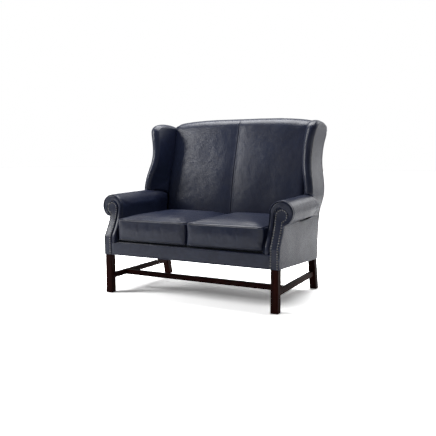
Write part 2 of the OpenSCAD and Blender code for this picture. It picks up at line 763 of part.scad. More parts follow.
// Piping up one rear edge, along the camel top and down the other
edge_count = 28;
piping_turn = camel(side_x + flare / 2) - piping_r;
edge_z = [for (k = [0 : edge_count]) mix(rear_foot + piping_r, piping_turn, k / edge_count)];
piping_side = [for (z = edge_z) [side_out(z) - piping_r, rear(z) - piping_r, z]];
piping_top = [for (k = [edge_count / 2 - 1 : -1 : 0])
    let (x = (side_out(piping_turn) - piping_r) * 2 * k / edge_count, z = camel(x) - piping_r)
    [x, rear(z) - piping_r, z]];
piping_half = concat(piping_side, piping_top);
piping_path = concat(
    piping_half,
    [for (k = [len(piping_half) - 2 : -1 : 0]) let (p = piping_half[k]) [-p[0], p[1], p[2]]]
);

// Outside back, within the piping
module outside_back() {
    rim = piping_r + fit_gap;
    line = [for (p = piping_half) [p[0], p[2]]];
    inner = concat(
        [[line[0][0] - rim, rear_foot]],
        [for (i = [0 : len(line) - 2]) line[i] - inward(line, i) * rim]
    );
    z = concat([rear_foot], edge_z, [back_h]);
    color([0.07, 0.08, 0.12]) settled() intersection() {
        side_cut(-side_w, side_w, concat(
            [for (h = z) [rear(h), h]],
            [for (h = flip(z)) [rear(h) - cover_t, h]]
        ));
        front_cut(0, 2 * base_d, concat(inner, [for (p = flip(inner)) [-p[0], p[1]]]));
    }
}

module piping() {
    sides = 6;
    m = len(piping_path);
    color([0.05, 0.05, 0.07]) settled() loop_loft([for (i = [0 : m - 1]) let (
        t = unit(piping_path[min(i + 1, m - 1)] - piping_path[max(i - 1, 0)]),
        u = unit(cross(t, [0, 1, 0])),
        v = cross(t, u))
        [for (k = [0 : sides - 1]) let (a = 360 * (k + 0.5) / sides)
            piping_path[i] + piping_r * (u * cos(a) + v * sin(a))]
    ], piping_path[0], piping_path[m - 1]);
}

// Suspension
// Wavy strap of the seat's weave: places where it crosses others, and which side it takes
function weave(ends, places, sign) = let (a = (web_t + web_gap) / 2, w = web_w / 2 + web_t) concat(
    [[ends[0], web_z - a]],
    [for (j = [0 : len(places) - 1]) let (z = web_z + a * sign * (j % 2 == 0 ? 1 : -1))
        each [[places[j] - w, z], [places[j] + w, z]]],
    [[ends[1], web_z - a]]
);
function strap(line) = concat(
    [for (p = line) [p[0], p[1] - web_t / 2]],
    [for (p = flip(line)) [p[0], p[1] + web_t / 2]]
);
long_pitch = 2 * (leg_in - web_w) / long_count;
long_places = [for (i = [0 : long_count - 1]) (i - (long_count - 1) / 2) * long_pitch];
cross_pitch = (back_rail_y - leg_w - web_w) / cross_count;
cross_places = [for (j = [0 : cross_count - 1]) leg_w + web_w / 2 + (j + 0.5) * cross_pitch];

module seat_webbing_long() {
    color([0.2, 0.16, 0.12]) settled() for (i = [0 : long_count - 1]) {
        x = long_places[i];
        line = weave([platform_front + fit_gap, back_rail_y + web_overlap], cross_places, i % 2 == 0 ? 1 : -1);
        side_cut(x - web_w / 2, x + web_w / 2, strap(line));
    }
}

module seat_webbing_cross() {
    end = leg_x - rail_t + web_overlap;
    color([0.24, 0.19, 0.14]) settled() for (j = [0 : cross_count - 1]) {
        y = cross_places[j];
        line = weave([-end, end], long_places, j % 2 == 0 ? -1 : 1);
        front_cut(y - web_w / 2, y + web_w / 2, strap(line));
    }
}

module back_webbing() {
    low = platform_top + lower_rail_h;
    pitch = (crest_low - low) / back_count;
    color([0.2, 0.16, 0.12]) settled() for (k = [0 : back_count - 1]) {
        z = low + (k + 0.5) * pitch;
        x = back_post_in + web_overlap;
        side_cut(-x, x, [
            [frame_front(z - web_w / 2) - fit_gap, z - web_w / 2],
            [frame_front(z + web_w / 2) - fit_gap, z + web_w / 2],
            [web_front(z + web_w / 2), z + web_w / 2],
            [web_front(z - web_w / 2), z - web_w / 2]
        ]);
    }
}

// Seat
module seat_platform() {
    low = web_top + fit_gap;
    color([0.1, 0.1, 0.13]) settled() side_cut(-arm_in + fit_gap, arm_in - fit_gap, [
        [platform_front, low], [back_front(platform_top) - fit_gap, low],
        [back_front(platform_top) - fit_gap, platform_top],
        [platform_front + facing_t, platform_top], [platform_front, platform_top - facing_t]
    ]);
}

module front_border() {
    n = 6;
    r = facing_t;
    color([0.07, 0.08, 0.12]) settled() side_cut(-border_x, border_x, concat(
        [[0, front_foot], [0, rail_top + fit_gap], [platform_front - fit_gap, rail_top + fit_gap],
         [platform_front - fit_gap, border_top]],
        [for (k = [0 : n]) let (a = 90 + 90 * k / n) [r * cos(a), border_top - r + r * sin(a)]],
        [[-facing_t, front_foot]]
    ));
}

module dust_cover() {
    notch_x = leg_in - fit_gap;
    color([0.08, 0.08, 0.08]) settled() intersection() {
        side_cut(-side_x, side_x, [
            [fit_gap, foot(0) + dust_low], [timber_rear, foot(timber_rear) + dust_low],
            [timber_rear, foot(timber_rear) + dust_low + dust_t], [fit_gap, foot(0) + dust_low + dust_t]
        ]);
        linear_extrude(back_h) polygon([
            [-notch_x, 0], [notch_x, 0], [notch_x, leg_w + fit_gap], [leg_x, leg_w + fit_gap],
            [leg_x, leg_top_y - fit_gap], [notch_x, leg_top_y - fit_gap], [notch_x, base_d],
            [-notch_x, base_d], [-notch_x, leg_top_y - fit_gap], [-leg_x, leg_top_y - fit_gap],
            [-leg_x, leg_w + fit_gap], [-notch_x, leg_w + fit_gap]
        ]);
    }
}

// Seat cushion on the right, in rings of a rounded rectangle: its bottom, the boxing and
// the crown. Its sides are drawn in at the seams and bulge between them.
cushion_x = [cushion_gap / 2, half_cushion];
function cushion_rear(z) = back_front(z) - back_swell - cushion_play;
function cushion_ring(z, bulge, share) = let (
    front = cushion_bulge - facing_t,
    rear = cushion_rear(z) - cushion_bulge,
    centre = [(cushion_x[0] + cushion_x[1]) / 2, (front + rear) / 2],
    half = [(cushion_x[1] - cushion_x[0]) / 2 - cushion_bulge * side_bulge_share, (rear - front) / 2],
    corner = [for (s = [[1, 1], [-1, 1], [-1, -1], [1, -1]])
        [s[0] * (half[0] - cushion_r), s[1] * (half[1] - cushion_r)]]
) [
    for (q = [0 : 3]) let (
        side = [cos(90 * q + 90), sin(90 * q + 90)],
        push = bulge * (q % 2 == 0 ? 1 : side_bulge_share),
        turn = [for (a = [0, 45, 90]) corner[q] + cushion_r * [cos(90 * q + a), sin(90 * q + a)]],
        next = corner[(q + 1) % 4] + cushion_r * side,
        along = [for (t = [0.12, 0.25, 0.4, 0.6, 0.75, 0.88])
            mix(turn[2], next, t) + push * (1 - pow(abs(2 * t - 1), 3)) * side]
    ) for (p = concat(turn, along)) [for (v = centre + p * share) v, z]
];

module seat_cushion() {
    low = platform_top + fit_gap;
    seam = platform_top + cushion_h;
    side_share = 1 - 2 * cushion_edge / half_cushion;
    boxing = [for (t = [0, 0.2, 0.5, 0.8, 1]) [mix(low + cushion_edge, seam, t), cushion_bulge * sin(180 * t)]];
    crown = [for (r = [0.97, 0.9, 0.78, 0.6, 0.4, 0.2]) [seam + cushion_crown * (1 - pow(r, 3)), r]];
    middle = [(cushion_x[0] + cushion_x[1]) / 2, (cushion_rear(seam) - facing_t) / 2];
    color([0.07, 0.08, 0.12]) difference() {
        loop_loft(concat(
            [cushion_ring(low, 0, 0.6), cushion_ring(low, 0, side_share)],
            [for (b = boxing) cushion_ring(b[0], b[1], 1)],
            [for (c = crown) cushion_ring(c[0], 0, c[1])]
        ), [middle[0], middle[1], low], [middle[0], middle[1], seam + cushion_crown]);
        core_block(0);
    }
}

module core_block(gap) {
    back = cushion_rear(platform_top) - cushion_bulge - core_wall;
    translate([cushion_x[0] + core_wall + gap, core_wall + gap, platform_top + core_wall + gap])
        cube([cushion_x[1] - cushion_x[0] - 2 * core_wall - 2 * gap,
              back - core_wall - 2 * gap,
              core_top - platform_top - core_wall - 2 * gap]);
}

module cushion_core() {
    color([0.9, 0.85, 0.65]) core_block(fit_gap);
}

// Nails: domed heads of nail_sides faces
nail_sides = 8;
function nail_ring(r, z) = [for (k = [0 : nail_sides - 1]) let (a = 360 * k / nail_sides) [r * cos(a), r * sin(a), z]];

module nail() {
    loop_loft(
        [nail_ring(nail_d / 2, 0), nail_ring(nail_d / 2 * nail_ring_share, nail_rise * sqrt(1 - pow(nail_ring_share, 2)))],
        [0, 0, 0], [0, 0, nail_rise]);
}

nail_r = facing_r - nail_inset;
nail_low = front_foot + nail_inset;
nail_out = facing_out - nail_inset;
nail_turn = acos((nail_out - roll_x) / nail_r);
nail_line = concat(
    [[roll_x - nail_r, nail_low], [roll_x - nail_r, facing_z]],
    [for (k = [1 : 14]) let (a = mix(180, -nail_turn, k / 14)) [roll_x + nail_r * cos(a), facing_z + nail_r * sin(a)]],
    [[nail_out, nail_low]]
);

module arm_nails() {
    color([0.6, 0.6, 0.58]) for (p = spaced(nail_line, nail_pitch))
        translate([p[0], arm_front(p[1]) - facing_t - fit_gap, p[1]])
            rotate([90 - atan(arm_slope(p[1])), 0, 0]) nail();
}

wing_nail_line = [for (i = [0 : wing_turn + 1]) let (p = wing_inset(wing_wrap + nail_inset)[i])
    if (p[1] > wing_foot + nail_d) p];

module wing_nails() {
    color([0.6, 0.6, 0.58]) for (p = spaced(wing_nail_line, nail_pitch)) {
        slope = (side_out(p[1] + slope_step) - side_out(p[1] - slope_step)) / (2 * slope_step);
        translate([side_out(p[1]) + fit_gap, p[0], p[1]]) rotate([0, 90 + atan(slope), 0]) nail();
    }
}

on("left") front_leg();  // front_leg_left
on("right") front_leg();  // front_leg_right
on("left") back_leg();  // back_leg_left
on("right") back_leg();  // back_leg_right
on("left") side_stretcher();  // side_stretcher_left
on("right") side_stretcher();  // side_stretcher_right
cross_stretcher();
front_rail();
back_rail();
on("left") side_rail();  // side_rail_left
on("right") side_rail();  // side_rail_right
seat_brace();
corner_blocks();
on("left") back_post();  // back_post_left
on("right") back_post();  // back_post_right
crest_rail();
lower_back_rail();
back_stile();
on("left") wing_board();  // wing_board_left
on("right") wing_board();  // wing_board_right
on("left") arm_post();  // arm_post_left
on("right") arm_post();  // arm_post_right
on("left") arm_rail();  // arm_rail_left
on("right") arm_rail();  // arm_rail_right
seat_webbing_long();
seat_webbing_cross();
back_webbing();
seat_platform();
front_border();
inside_back();
outside_back();
on("left") inside_wing();  // inside_wing_left
on("right") inside_wing();  // inside_wing_right
on("left") outside_wing();  // outside_wing_left
on("right") outside_wing();  // outside_wing_right
on("left") arm_pad();  // arm_pad_left
on("right") arm_pad();  // arm_pad_right
on("left") outside_arm();  // outside_arm_left
on("right") outside_arm();  // outside_arm_right
on("left") arm_facing();  // arm_facing_left
on("right") arm_facing();  // arm_facing_right
dust_cover();
piping();
on("left") seat_cushion();  // seat_cushion_left
on("right") seat_cushion();  // seat_cushion_right
on("left") cushion_core();  // cushion_core_left
on("right") cushion_core();  // cushion_core_right
on("left") arm_nails();  // arm_nails_left
on("right") arm_nails();  // arm_nails_right
on("left") wing_nails();  // wing_nails_left
on("right") wing_nails();  // wing_nails_right
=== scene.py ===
# %% [markdown]
# # A high back wing settee in navy leather
# The settee stands on square mahogany legs with an H of stretchers between them. Everything
# above the legs is leather over padding, drawn round a timber frame and nailed down along the
# arms and wings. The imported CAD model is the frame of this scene. Its rigid pieces stay and
# get their finishes here, and each soft solid is replaced by a piece with real seams,
# swells and creases, in the same place and in metres.

import math
from types import SimpleNamespace

import bmesh
import bpy
import numpy as np
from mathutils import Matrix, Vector, noise
from mathutils.kdtree import KDTree


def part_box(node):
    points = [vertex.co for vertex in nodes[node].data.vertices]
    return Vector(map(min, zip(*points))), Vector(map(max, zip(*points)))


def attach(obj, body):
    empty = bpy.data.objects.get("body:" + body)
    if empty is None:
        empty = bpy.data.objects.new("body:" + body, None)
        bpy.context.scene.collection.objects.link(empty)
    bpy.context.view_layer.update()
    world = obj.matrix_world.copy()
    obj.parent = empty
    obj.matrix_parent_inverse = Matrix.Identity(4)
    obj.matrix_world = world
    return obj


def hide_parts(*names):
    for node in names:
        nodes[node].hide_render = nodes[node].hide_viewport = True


scene = bpy.context.scene
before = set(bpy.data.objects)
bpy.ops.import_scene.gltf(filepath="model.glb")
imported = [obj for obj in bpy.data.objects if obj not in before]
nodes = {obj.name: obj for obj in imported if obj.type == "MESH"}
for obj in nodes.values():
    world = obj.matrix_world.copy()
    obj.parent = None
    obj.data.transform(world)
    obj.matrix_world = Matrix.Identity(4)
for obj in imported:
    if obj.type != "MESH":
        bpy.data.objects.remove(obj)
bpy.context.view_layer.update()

# %% [markdown]
# The camera stands to the right of the middle, at about the height of the arms, and looks
# slightly down. Its place was worked out once from the legs and the edges of the
# upholstery. A longer lens from further off would flatten the seat, and a shorter one
# would swell the near arm.

# %% Camera
LENS = 47.25
SENSOR = 36
CAMERA_RIGHT = 1.625
CAMERA_AHEAD = 2.760
CAMERA_HEIGHT = 0.822
LOOK_DOWN = 6.02
LOOK_LEFT = 27.15

camera_data = bpy.data.cameras.new("camera")
camera_data.lens = LENS
camera_data.sensor_width = SENSOR
camera = bpy.data.objects.new("camera", camera_data)
scene.collection.objects.link(camera)
front_edge = -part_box("front_leg_left")[0].y
camera.location = (CAMERA_RIGHT, -CAMERA_AHEAD - front_edge, CAMERA_HEIGHT)
camera.rotation_euler = (math.radians(90 - LOOK_DOWN), 0, math.radians(LOOK_LEFT))
scene.camera = camera
print("front of the legs lies", round(front_edge, 4), "m before the middle")

# %% [markdown]
# A studio for dark leather is mostly big soft boxes, because leather shows its shape by
# what it mirrors. One box hangs overhead and draws the bright bands along the crest and
# the arms. A tall one stands so far out at the front left that the left wing shades the
# corner of the back, and a small one stands at the rear right.

# %% Soft boxes
scene.view_settings.view_transform = "Standard"


def soft_box(name, place, aim, size, power):
    """A rectangular lamp at a place, turned to an aim."""
    data = bpy.data.lights.new(name, "AREA")
    data.shape = "RECTANGLE"
    data.size, data.size_y = size
    data.energy = power
    lamp = bpy.data.objects.new(name, data)
    lamp.location = place
    lamp.rotation_euler = (Vector(aim) - Vector(place)).to_track_quat("-Z", "Y").to_euler()
    scene.collection.objects.link(lamp)


soft_box("top box", place=(-0.4, 0.6, 2.9), aim=(-0.4, 0.6, 0), size=(2.6, 1.8), power=104)
soft_box("left box", place=(-3.5, -2.2, 2.6), aim=(0, 0.2, 0.8), size=(1.2, 1.9), power=108)
soft_box("rear right box", place=(1.7, 3.0, 2.6), aim=(0, 0, 0.6), size=(1.6, 1.4), power=21)
print(len(bpy.data.lights), "soft boxes")

# %% [markdown]
# Materials, the world and the floor are all graphs of nodes, and most graphs repeat the same
# few steps: a noise, a ramp, a sum, a mix of colours, a bump. A short function for each step
# keeps the recipes below as readable as a list. Where a step takes a value, it may be a
# number, a colour or another node's output.

# %% Shader helpers
def feed(tree, part, socket):
    """Sets a socket to a number or a colour, or links another socket to it."""
    if isinstance(part, (int, float)):
        socket.default_value = part
    elif isinstance(part, tuple):
        socket.default_value = (*part, 1)
    else:
        tree.links.new(part, socket)


def coordinates(tree):
    """The piece's own coordinates, in metres."""
    return tree.nodes.new("ShaderNodeTexCoord").outputs["Object"]


def noise_at(tree, coords, scale, detail=2.0, rough=0.5, warp=0.0):
    """The value of a noise texture."""
    node = tree.nodes.new("ShaderNodeTexNoise")
    node.inputs["Scale"].default_value = scale
    node.inputs["Detail"].default_value = detail
    node.inputs["Roughness"].default_value = rough
    node.inputs["Distortion"].default_value = warp
    tree.links.new(coords, node.inputs["Vector"])
    return node.outputs[0]


def ramp(tree, value, low, high, to_low=0.0, to_high=1.0, soft=False):
    """A value mapped from one range to another and kept inside it, with soft ends if asked."""
    node = tree.nodes.new("ShaderNodeMapRange")
    if soft:
        node.interpolation_type = "SMOOTHSTEP"
    node.inputs["From Min"].default_value = low
    node.inputs["From Max"].default_value = high
    node.inputs["To Min"].default_value = to_low
    node.inputs["To Max"].default_value = to_high
    tree.links.new(value, node.inputs["Value"])
    return node.outputs["Result"]


def maths(tree, kind, a, b):
    """One Math node between two sockets or numbers."""
    node = tree.nodes.new("ShaderNodeMath")
    node.operation = kind
    feed(tree, a, node.inputs[0])
    feed(tree, b, node.inputs[1])
    return node.outputs[0]


def bump_of(tree, height, distance, strength=1.0, normal=None):
    """A bump node over a height, on top of another normal if there is one."""
    node = tree.nodes.new("ShaderNodeBump")
    node.inputs["Distance"].default_value = distance
    feed(tree, strength, node.inputs["Strength"])
    tree.links.new(height, node.inputs["Height"])
    if normal is not None:
        tree.links.new(normal, node.inputs["Normal"])
    return node.outputs["Normal"]


def colour_mix(tree, mask, a, b):
    """A colour mixed by a mask between two colours or sockets."""
    node = tree.nodes.new("ShaderNodeMix")
    node.data_type = "RGBA"
    tree.links.new(mask, node.inputs["Factor"])
    feed(tree, a, node.inputs[6])
    feed(tree, b, node.inputs[7])
    return node.outputs[2]


def attribute(tree, name):
    """A value painted on the mesh."""
    node = tree.nodes.new("ShaderNodeAttribute")
    node.attribute_name = name
    return node.outputs["Fac"]


print("shader helpers ready")

# %% [markdown]
# The world is a white sweep behind the settee and a dim room in front of it, so that the
# fronts stay deep and the sides, which mirror what lies behind, turn pale. How far a
# direction points to the sweep is its dot product with one fixed direction. The camera
# itself sees plain white wherever no piece stands.

# %% World
TO_THE_SWEEP = (0.42, 0.90, -0.30)
SWEEP_STARTS = 0.25
SWEEP_FULL = 0.85
ROOM_GLOW = 0.13
SWEEP_GLOW = 1.15
PAPER_WHITE = 1.0

world = bpy.data.worlds.new("studio")
scene.world = world
world.use_nodes = True
tree = world.node_tree
tree.nodes.clear()
rays = tree.nodes.new("ShaderNodeLightPath")
compass = tree.nodes.new("ShaderNodeTexCoord")
behind = tree.nodes.new("ShaderNodeVectorMath")
behind.operation = "DOT_PRODUCT"
behind.inputs[1].default_value = TO_THE_SWEEP
tree.links.new(compass.outputs["Generated"], behind.inputs[0])
glow = ramp(tree, behind.outputs["Value"], SWEEP_STARTS, SWEEP_FULL, ROOM_GLOW, SWEEP_GLOW, soft=True)
seen = tree.nodes.new("ShaderNodeMix")
tree.links.new(rays.outputs["Is Camera Ray"], seen.inputs["Factor"])
tree.links.new(glow, seen.inputs[2])
seen.inputs[3].default_value = PAPER_WHITE
sky = tree.nodes.new("ShaderNodeBackground")
sky.inputs["Color"].default_value = (1, 1, 1, 1)
tree.links.new(seen.outputs[0], sky.inputs["Strength"])
out = tree.nodes.new("ShaderNodeOutputWorld")
tree.links.new(sky.outputs[0], out.inputs["Surface"])
print("world has", len(tree.nodes), "nodes")

# %% [markdown]
# The floor is one big pale sheet. It is plain grey to the lamps, which keeps the settee's
# shadow on it. To the camera its colour is raised until the open floor is paper white, and
# more so further out, where less light falls. Leather mirrors a part of that brightness,
# but only of the floor that lies well away from the legs, so the lower covers grow darker
# towards the ground.

# %% Floor
FLOOR_REACH = 30
FLOOR_GREY = (0.80, 0.80, 0.80)
WHITE_NEAR, WHITE_FAR = 2.8, 6.0
WHITE_FROM, WHITE_TO = 1.2, 5.0
SHEEN_FROM, SHEEN_TO = 0.8, 3.4
SHEEN = 0.36

corners = [(FLOOR_REACH * x, FLOOR_REACH * y, 0) for x, y in ((-1, -1), (1, -1), (1, 1), (-1, 1))]
floor_mesh = bpy.data.meshes.new("floor")
floor_mesh.from_pydata(corners, [], [(0, 1, 2, 3)])
floor = bpy.data.objects.new("floor", floor_mesh)
scene.collection.objects.link(floor)

floor_finish = bpy.data.materials.new("pale floor")
floor_finish.use_nodes = True
tree = floor_finish.node_tree
tree.nodes.clear()
rays = tree.nodes.new("ShaderNodeLightPath")
away = tree.nodes.new("ShaderNodeVectorMath")
away.operation = "LENGTH"
tree.links.new(coordinates(tree), away.inputs[0])
distance = away.outputs["Value"]
white = ramp(tree, distance, WHITE_FROM, WHITE_TO, WHITE_NEAR, WHITE_FAR, soft=True)
sheen = ramp(tree, distance, SHEEN_FROM, SHEEN_TO, 0.0, SHEEN, soft=True)
mirrored = maths(tree, "MULTIPLY", rays.outputs["Is Glossy Ray"], sheen)
raised = maths(tree, "MAXIMUM", rays.outputs["Is Camera Ray"], mirrored)
floor_paint = tree.nodes.new("ShaderNodeBsdfDiffuse")
tree.links.new(colour_mix(tree, raised, FLOOR_GREY, white), floor_paint.inputs["Color"])
out = tree.nodes.new("ShaderNodeOutputMaterial")
tree.links.new(floor_paint.outputs[0], out.inputs["Surface"])
floor_mesh.materials.append(floor_finish)
print("floor of", 2 * FLOOR_REACH, "m")

# %% [markdown]
# Leather is built as one shader node group that every leather piece shares: a pebbled
# grain, soft creases, a slow cloud of darker and lighter hide, and rubbed high places.
# The group hands out masks and a normal only. The Principled shader stays in the
# material, so that its gloss can be tuned piece by piece. The grain is kept very shallow:
# deep grain would spread each highlight and turn the polished hide to a flat grey.

# %% Leather group
def new_group(name, sockets_in, sockets_out):
    """A shader node group with its sockets, and its input and output nodes."""
    group = bpy.data.node_groups.new(name, "ShaderNodeTree")
    for label, kind, value in sockets_in:
        socket = group.interface.new_socket(label, in_out="INPUT", socket_type=kind)
        if value is not None:
            socket.default_value = value
    for label, kind in sockets_out:
        group.interface.new_socket(label, in_out="OUTPUT", socket_type=kind)
    return group, group.nodes.new("NodeGroupInput"), group.nodes.new("NodeGroupOutput")


PEBBLES_PER_METRE = 520
PEBBLE_DEPTH = 0.00016
CREASE_DEPTH = 0.0030
HOLLOW_DEPTH = 0.010

hide, hide_in, hide_out = new_group(
    "hide",
    [("Grain", "NodeSocketFloat", 1.0)],
    [("Cloud", "NodeSocketFloat"), ("Rub", "NodeSocketFloat"), ("Seam", "NodeSocketFloat"),
     ("Normal", "NodeSocketVector")])
coords = coordinates(hide)
cells = hide.nodes.new("ShaderNodeTexVoronoi")
cells.feature = "DISTANCE_TO_EDGE"
cells.inputs["Scale"].default_value = PEBBLES_PER_METRE
hide.links.new(coords, cells.inputs["Vector"])
pebble = ramp(hide, cells.outputs["Distance"], 0.0, 0.22)
fine = maths(hide, "MULTIPLY", noise_at(hide, coords, 900), 0.4)
creases = noise_at(hide, coords, 26, detail=4, rough=0.6, warp=1.2)
hollows = noise_at(hide, coords, 7)
normal = bump_of(hide, hollows, HOLLOW_DEPTH, strength=0.12)
normal = bump_of(hide, creases, CREASE_DEPTH, strength=0.10, normal=normal)
normal = bump_of(hide, maths(hide, "ADD", pebble, fine), PEBBLE_DEPTH, hide_in.outputs["Grain"], normal)
broad = maths(hide, "MULTIPLY", noise_at(hide, coords, 5.5, detail=3, rough=0.55, warp=0.4), 0.6)
small = maths(hide, "MULTIPLY", noise_at(hide, coords, 45, detail=3, rough=0.6), 0.4)
patches = ramp(hide, noise_at(hide, coords, 60, detail=3), 0.35, 0.6)
hide.links.new(ramp(hide, maths(hide, "ADD", broad, small), 0.38, 0.64), hide_out.inputs["Cloud"])
hide.links.new(maths(hide, "MULTIPLY", attribute(hide, "rub"), patches), hide_out.inputs["Rub"])
# Seam is the mask for the seams' duller finish and for their painted shade.
hide.links.new(attribute(hide, "seam"), hide_out.inputs["Seam"])
hide.links.new(normal, hide_out.inputs["Normal"])
print("hide group has", len(hide.nodes), "nodes")

# %% [markdown]
# The leather material puts the group to work. The navy is very dark: most of what the eye
# sees on such leather is the studio mirrored in its finish. Seams are duller, because polish
# and cloth never reach the bottom of a groove, and darker by painted shade along the groove.
# Worn high places are a touch lighter. The piping is a darker copy of the same hide, which
# is painted shade along the cords.

# %% Leather material
def finish(name):
    """A new material with its Principled shader."""
    material = bpy.data.materials.new(name)
    material.use_nodes = True
    return material, material.node_tree, material.node_tree.nodes["Principled BSDF"]


def placed(tree, group):
    """A node that puts a group to work in a material."""
    node = tree.nodes.new("ShaderNodeGroup")
    node.node_tree = group
    return node


def leather(name, dark, light, gloss, grain=0.55):
    """Leather between two tones. Gloss is the finish's roughness."""
    material, tree, shader = finish(name)
    group = placed(tree, hide)
    group.inputs["Grain"].default_value = grain
    worn = tuple(3.2 * v + 0.004 for v in light)
    # The groove colour is painted shade for the seams, darker than the dark tone.
    groove = tuple(0.35 * v for v in dark)
    tone = colour_mix(tree, group.outputs["Cloud"], dark, light)
    tone = colour_mix(tree, group.outputs["Rub"], tone, worn)
    # Painted shade along the seams, mixed in by the seam mask.
    tone = colour_mix(tree, group.outputs["Seam"], tone, groove)
    tree.links.new(tone, shader.inputs["Base Color"])
    even = ramp(tree, group.outputs["Cloud"], 0, 1, gloss + 0.05, gloss - 0.04)
    dull = maths(tree, "MULTIPLY", group.outputs["Seam"], 0.25)
    tree.links.new(maths(tree, "ADD", even, dull), shader.inputs["Roughness"])
    shader.inputs["Specular IOR Level"].default_value = 0.47
    tree.links.new(group.outputs["Normal"], shader.inputs["Normal"])
    return material


navy = leather("navy leather", dark=(0.0077, 0.0112, 0.031), light=(0.0153, 0.0216, 0.049), gloss=0.32)
# The piping's leather is a darker copy of the navy: painted shade along the cords.
shaded_welt_leather = leather("shaded welt leather", dark=(0.005, 0.007, 0.018), light=(0.010, 0.014, 0.030),
                       gloss=0.30, grain=0.3)
print("leather ready")

# %% [markdown]
# Mahogany gets long fibres along the leg: noise stretched twenty times along the grain,
# small dark pores, and a slow red and brown figure. Fibres can't follow each leg by
# themselves, so there is one material for each axis, and a piece takes the one it is
# longest along. The polish is dark and nearly without shine. Frame timber is the same idea
# in pale, unpolished beech.

# %% Wood
ALONG_THE_GRAIN = 0.05
DARK_MAHOGANY, RED_MAHOGANY = (0.010, 0.0018, 0.0013), (0.032, 0.0055, 0.0036)
DARK_BEECH, PALE_BEECH = (0.42, 0.26, 0.14), (0.60, 0.42, 0.25)

fibre, fibre_in, fibre_out = new_group(
    "fibre", [("Vector", "NodeSocketVector", None)],
    [("Figure", "NodeSocketFloat"), ("Pores", "NodeSocketFloat"), ("Normal", "NodeSocketVector")])
stretched = fibre_in.outputs["Vector"]
figure = noise_at(fibre, stretched, 9, detail=4, rough=0.6, warp=0.8)
strands = noise_at(fibre, stretched, 70, detail=3, rough=0.7)
pores = ramp(fibre, noise_at(fibre, stretched, 240, detail=1), 0.60, 0.72)
blend = maths(fibre, "ADD", maths(fibre, "MULTIPLY", figure, 0.7), maths(fibre, "MULTIPLY", strands, 0.3))
fibre.links.new(ramp(fibre, blend, 0.36, 0.64), fibre_out.inputs["Figure"])
fibre.links.new(pores, fibre_out.inputs["Pores"])
relief = bump_of(fibre, maths(fibre, "SUBTRACT", strands, pores), 0.0004, strength=0.5)
fibre.links.new(relief, fibre_out.inputs["Normal"])


def wood(name, along, dark, light, gloss, shine):
    """Wood with its fibres along an axis, 0 for X, 1 for Y and 2 for Z. Gloss is its
    roughness and shine its level of mirroring."""
    material, tree, shader = finish(name)
    stretch = tree.nodes.new("ShaderNodeMapping")
    squeeze = [1.0, 1.0, 1.0]
    squeeze[along] = ALONG_THE_GRAIN
    stretch.inputs["Scale"].default_value = squeeze
    tree.links.new(coordinates(tree), stretch.inputs["Vector"])
    group = placed(tree, fibre)
    tree.links.new(stretch.outputs[0], group.inputs["Vector"])
    tone = colour_mix(tree, group.outputs["Figure"], dark, light)
    tone = colour_mix(tree, group.outputs["Pores"], tone, tuple(0.3 * v for v in dark))
    tree.links.new(tone, shader.inputs["Base Color"])
    rough = ramp(tree, group.outputs["Figure"], 0, 1, gloss + 0.08, gloss - 0.04)
    tree.links.new(rough, shader.inputs["Roughness"])
    shader.inputs["Specular IOR Level"].default_value = shine
    tree.links.new(group.outputs["Normal"], shader.inputs["Normal"])
    return material


polished = [wood(f"mahogany {axis}", k, DARK_MAHOGANY, RED_MAHOGANY, gloss=0.42, shine=0.05)
            for k, axis in enumerate("XYZ")]
beech = [wood(f"beech {axis}", k, DARK_BEECH, PALE_BEECH, gloss=0.6, shine=0.5)
         for k, axis in enumerate("XYZ")]
print(len(polished) + len(beech), "woods")

# %% [markdown]
# The hidden cloths are jute webbing, the platform under the cushions and the dust cover
# below the seat. They share a weave group: two sets of threads at right angles, one over
# the other, made from sine waves instead of a picture, so the weave is sharp at any size.

# %% Cloth
weave, weave_in, weave_out = new_group(
    "weave", [("Threads", "NodeSocketFloat", 400.0)],
    [("Over", "NodeSocketFloat"), ("Slub", "NodeSocketFloat"), ("Normal", "NodeSocketVector")])
coords = coordinates(weave)
split = weave.nodes.new("ShaderNodeSeparateXYZ")
weave.links.new(coords, split.inputs[0])
waves = []
for axis in ("X", "Y", "Z"):
    threads = maths(weave, "MULTIPLY", split.outputs[axis], weave_in.outputs["Threads"])
    waves.append(maths(weave, "SINE", maths(weave, "MULTIPLY", threads, math.tau), 0.0))
thread_height = maths(weave, "MULTIPLY", waves[0], maths(weave, "MAXIMUM", waves[1], waves[2]))
weave.links.new(ramp(weave, thread_height, -1, 1), weave_out.inputs["Over"])
slubs = ramp(weave, noise_at(weave, coords, 80, detail=3), 0.35, 0.65)
weave.links.new(slubs, weave_out.inputs["Slub"])
weave.links.new(bump_of(weave, thread_height, 0.0006, strength=0.6), weave_out.inputs["Normal"])


def cloth(name, dark, light, threads):
    """Woven cloth between two tones, with so many threads in a metre."""
    material, tree, shader = finish(name)
    group = placed(tree, weave)
    group.inputs["Threads"].default_value = threads
    tone = colour_mix(tree, group.outputs["Over"], dark, light)
    tone = colour_mix(tree, group.outputs["Slub"], tone, tuple(0.7 * v for v in light))
    tree.links.new(tone, shader.inputs["Base Color"])
    shader.inputs["Roughness"].default_value = 0.9
    shader.inputs["Specular IOR Level"].default_value = 0.25
    tree.links.new(group.outputs["Normal"], shader.inputs["Normal"])
    return material


jute = cloth("jute webbing", dark=(0.14, 0.10, 0.06), light=(0.30, 0.23, 0.15), threads=260)
platform_cloth = cloth("platform cloth", dark=(0.016, 0.018, 0.024), light=(0.034, 0.037, 0.046), threads=520)
dust_cloth = cloth("dust cloth", dark=(0.012, 0.012, 0.013), light=(0.03, 0.03, 0.032), threads=600)
print("cloths ready")

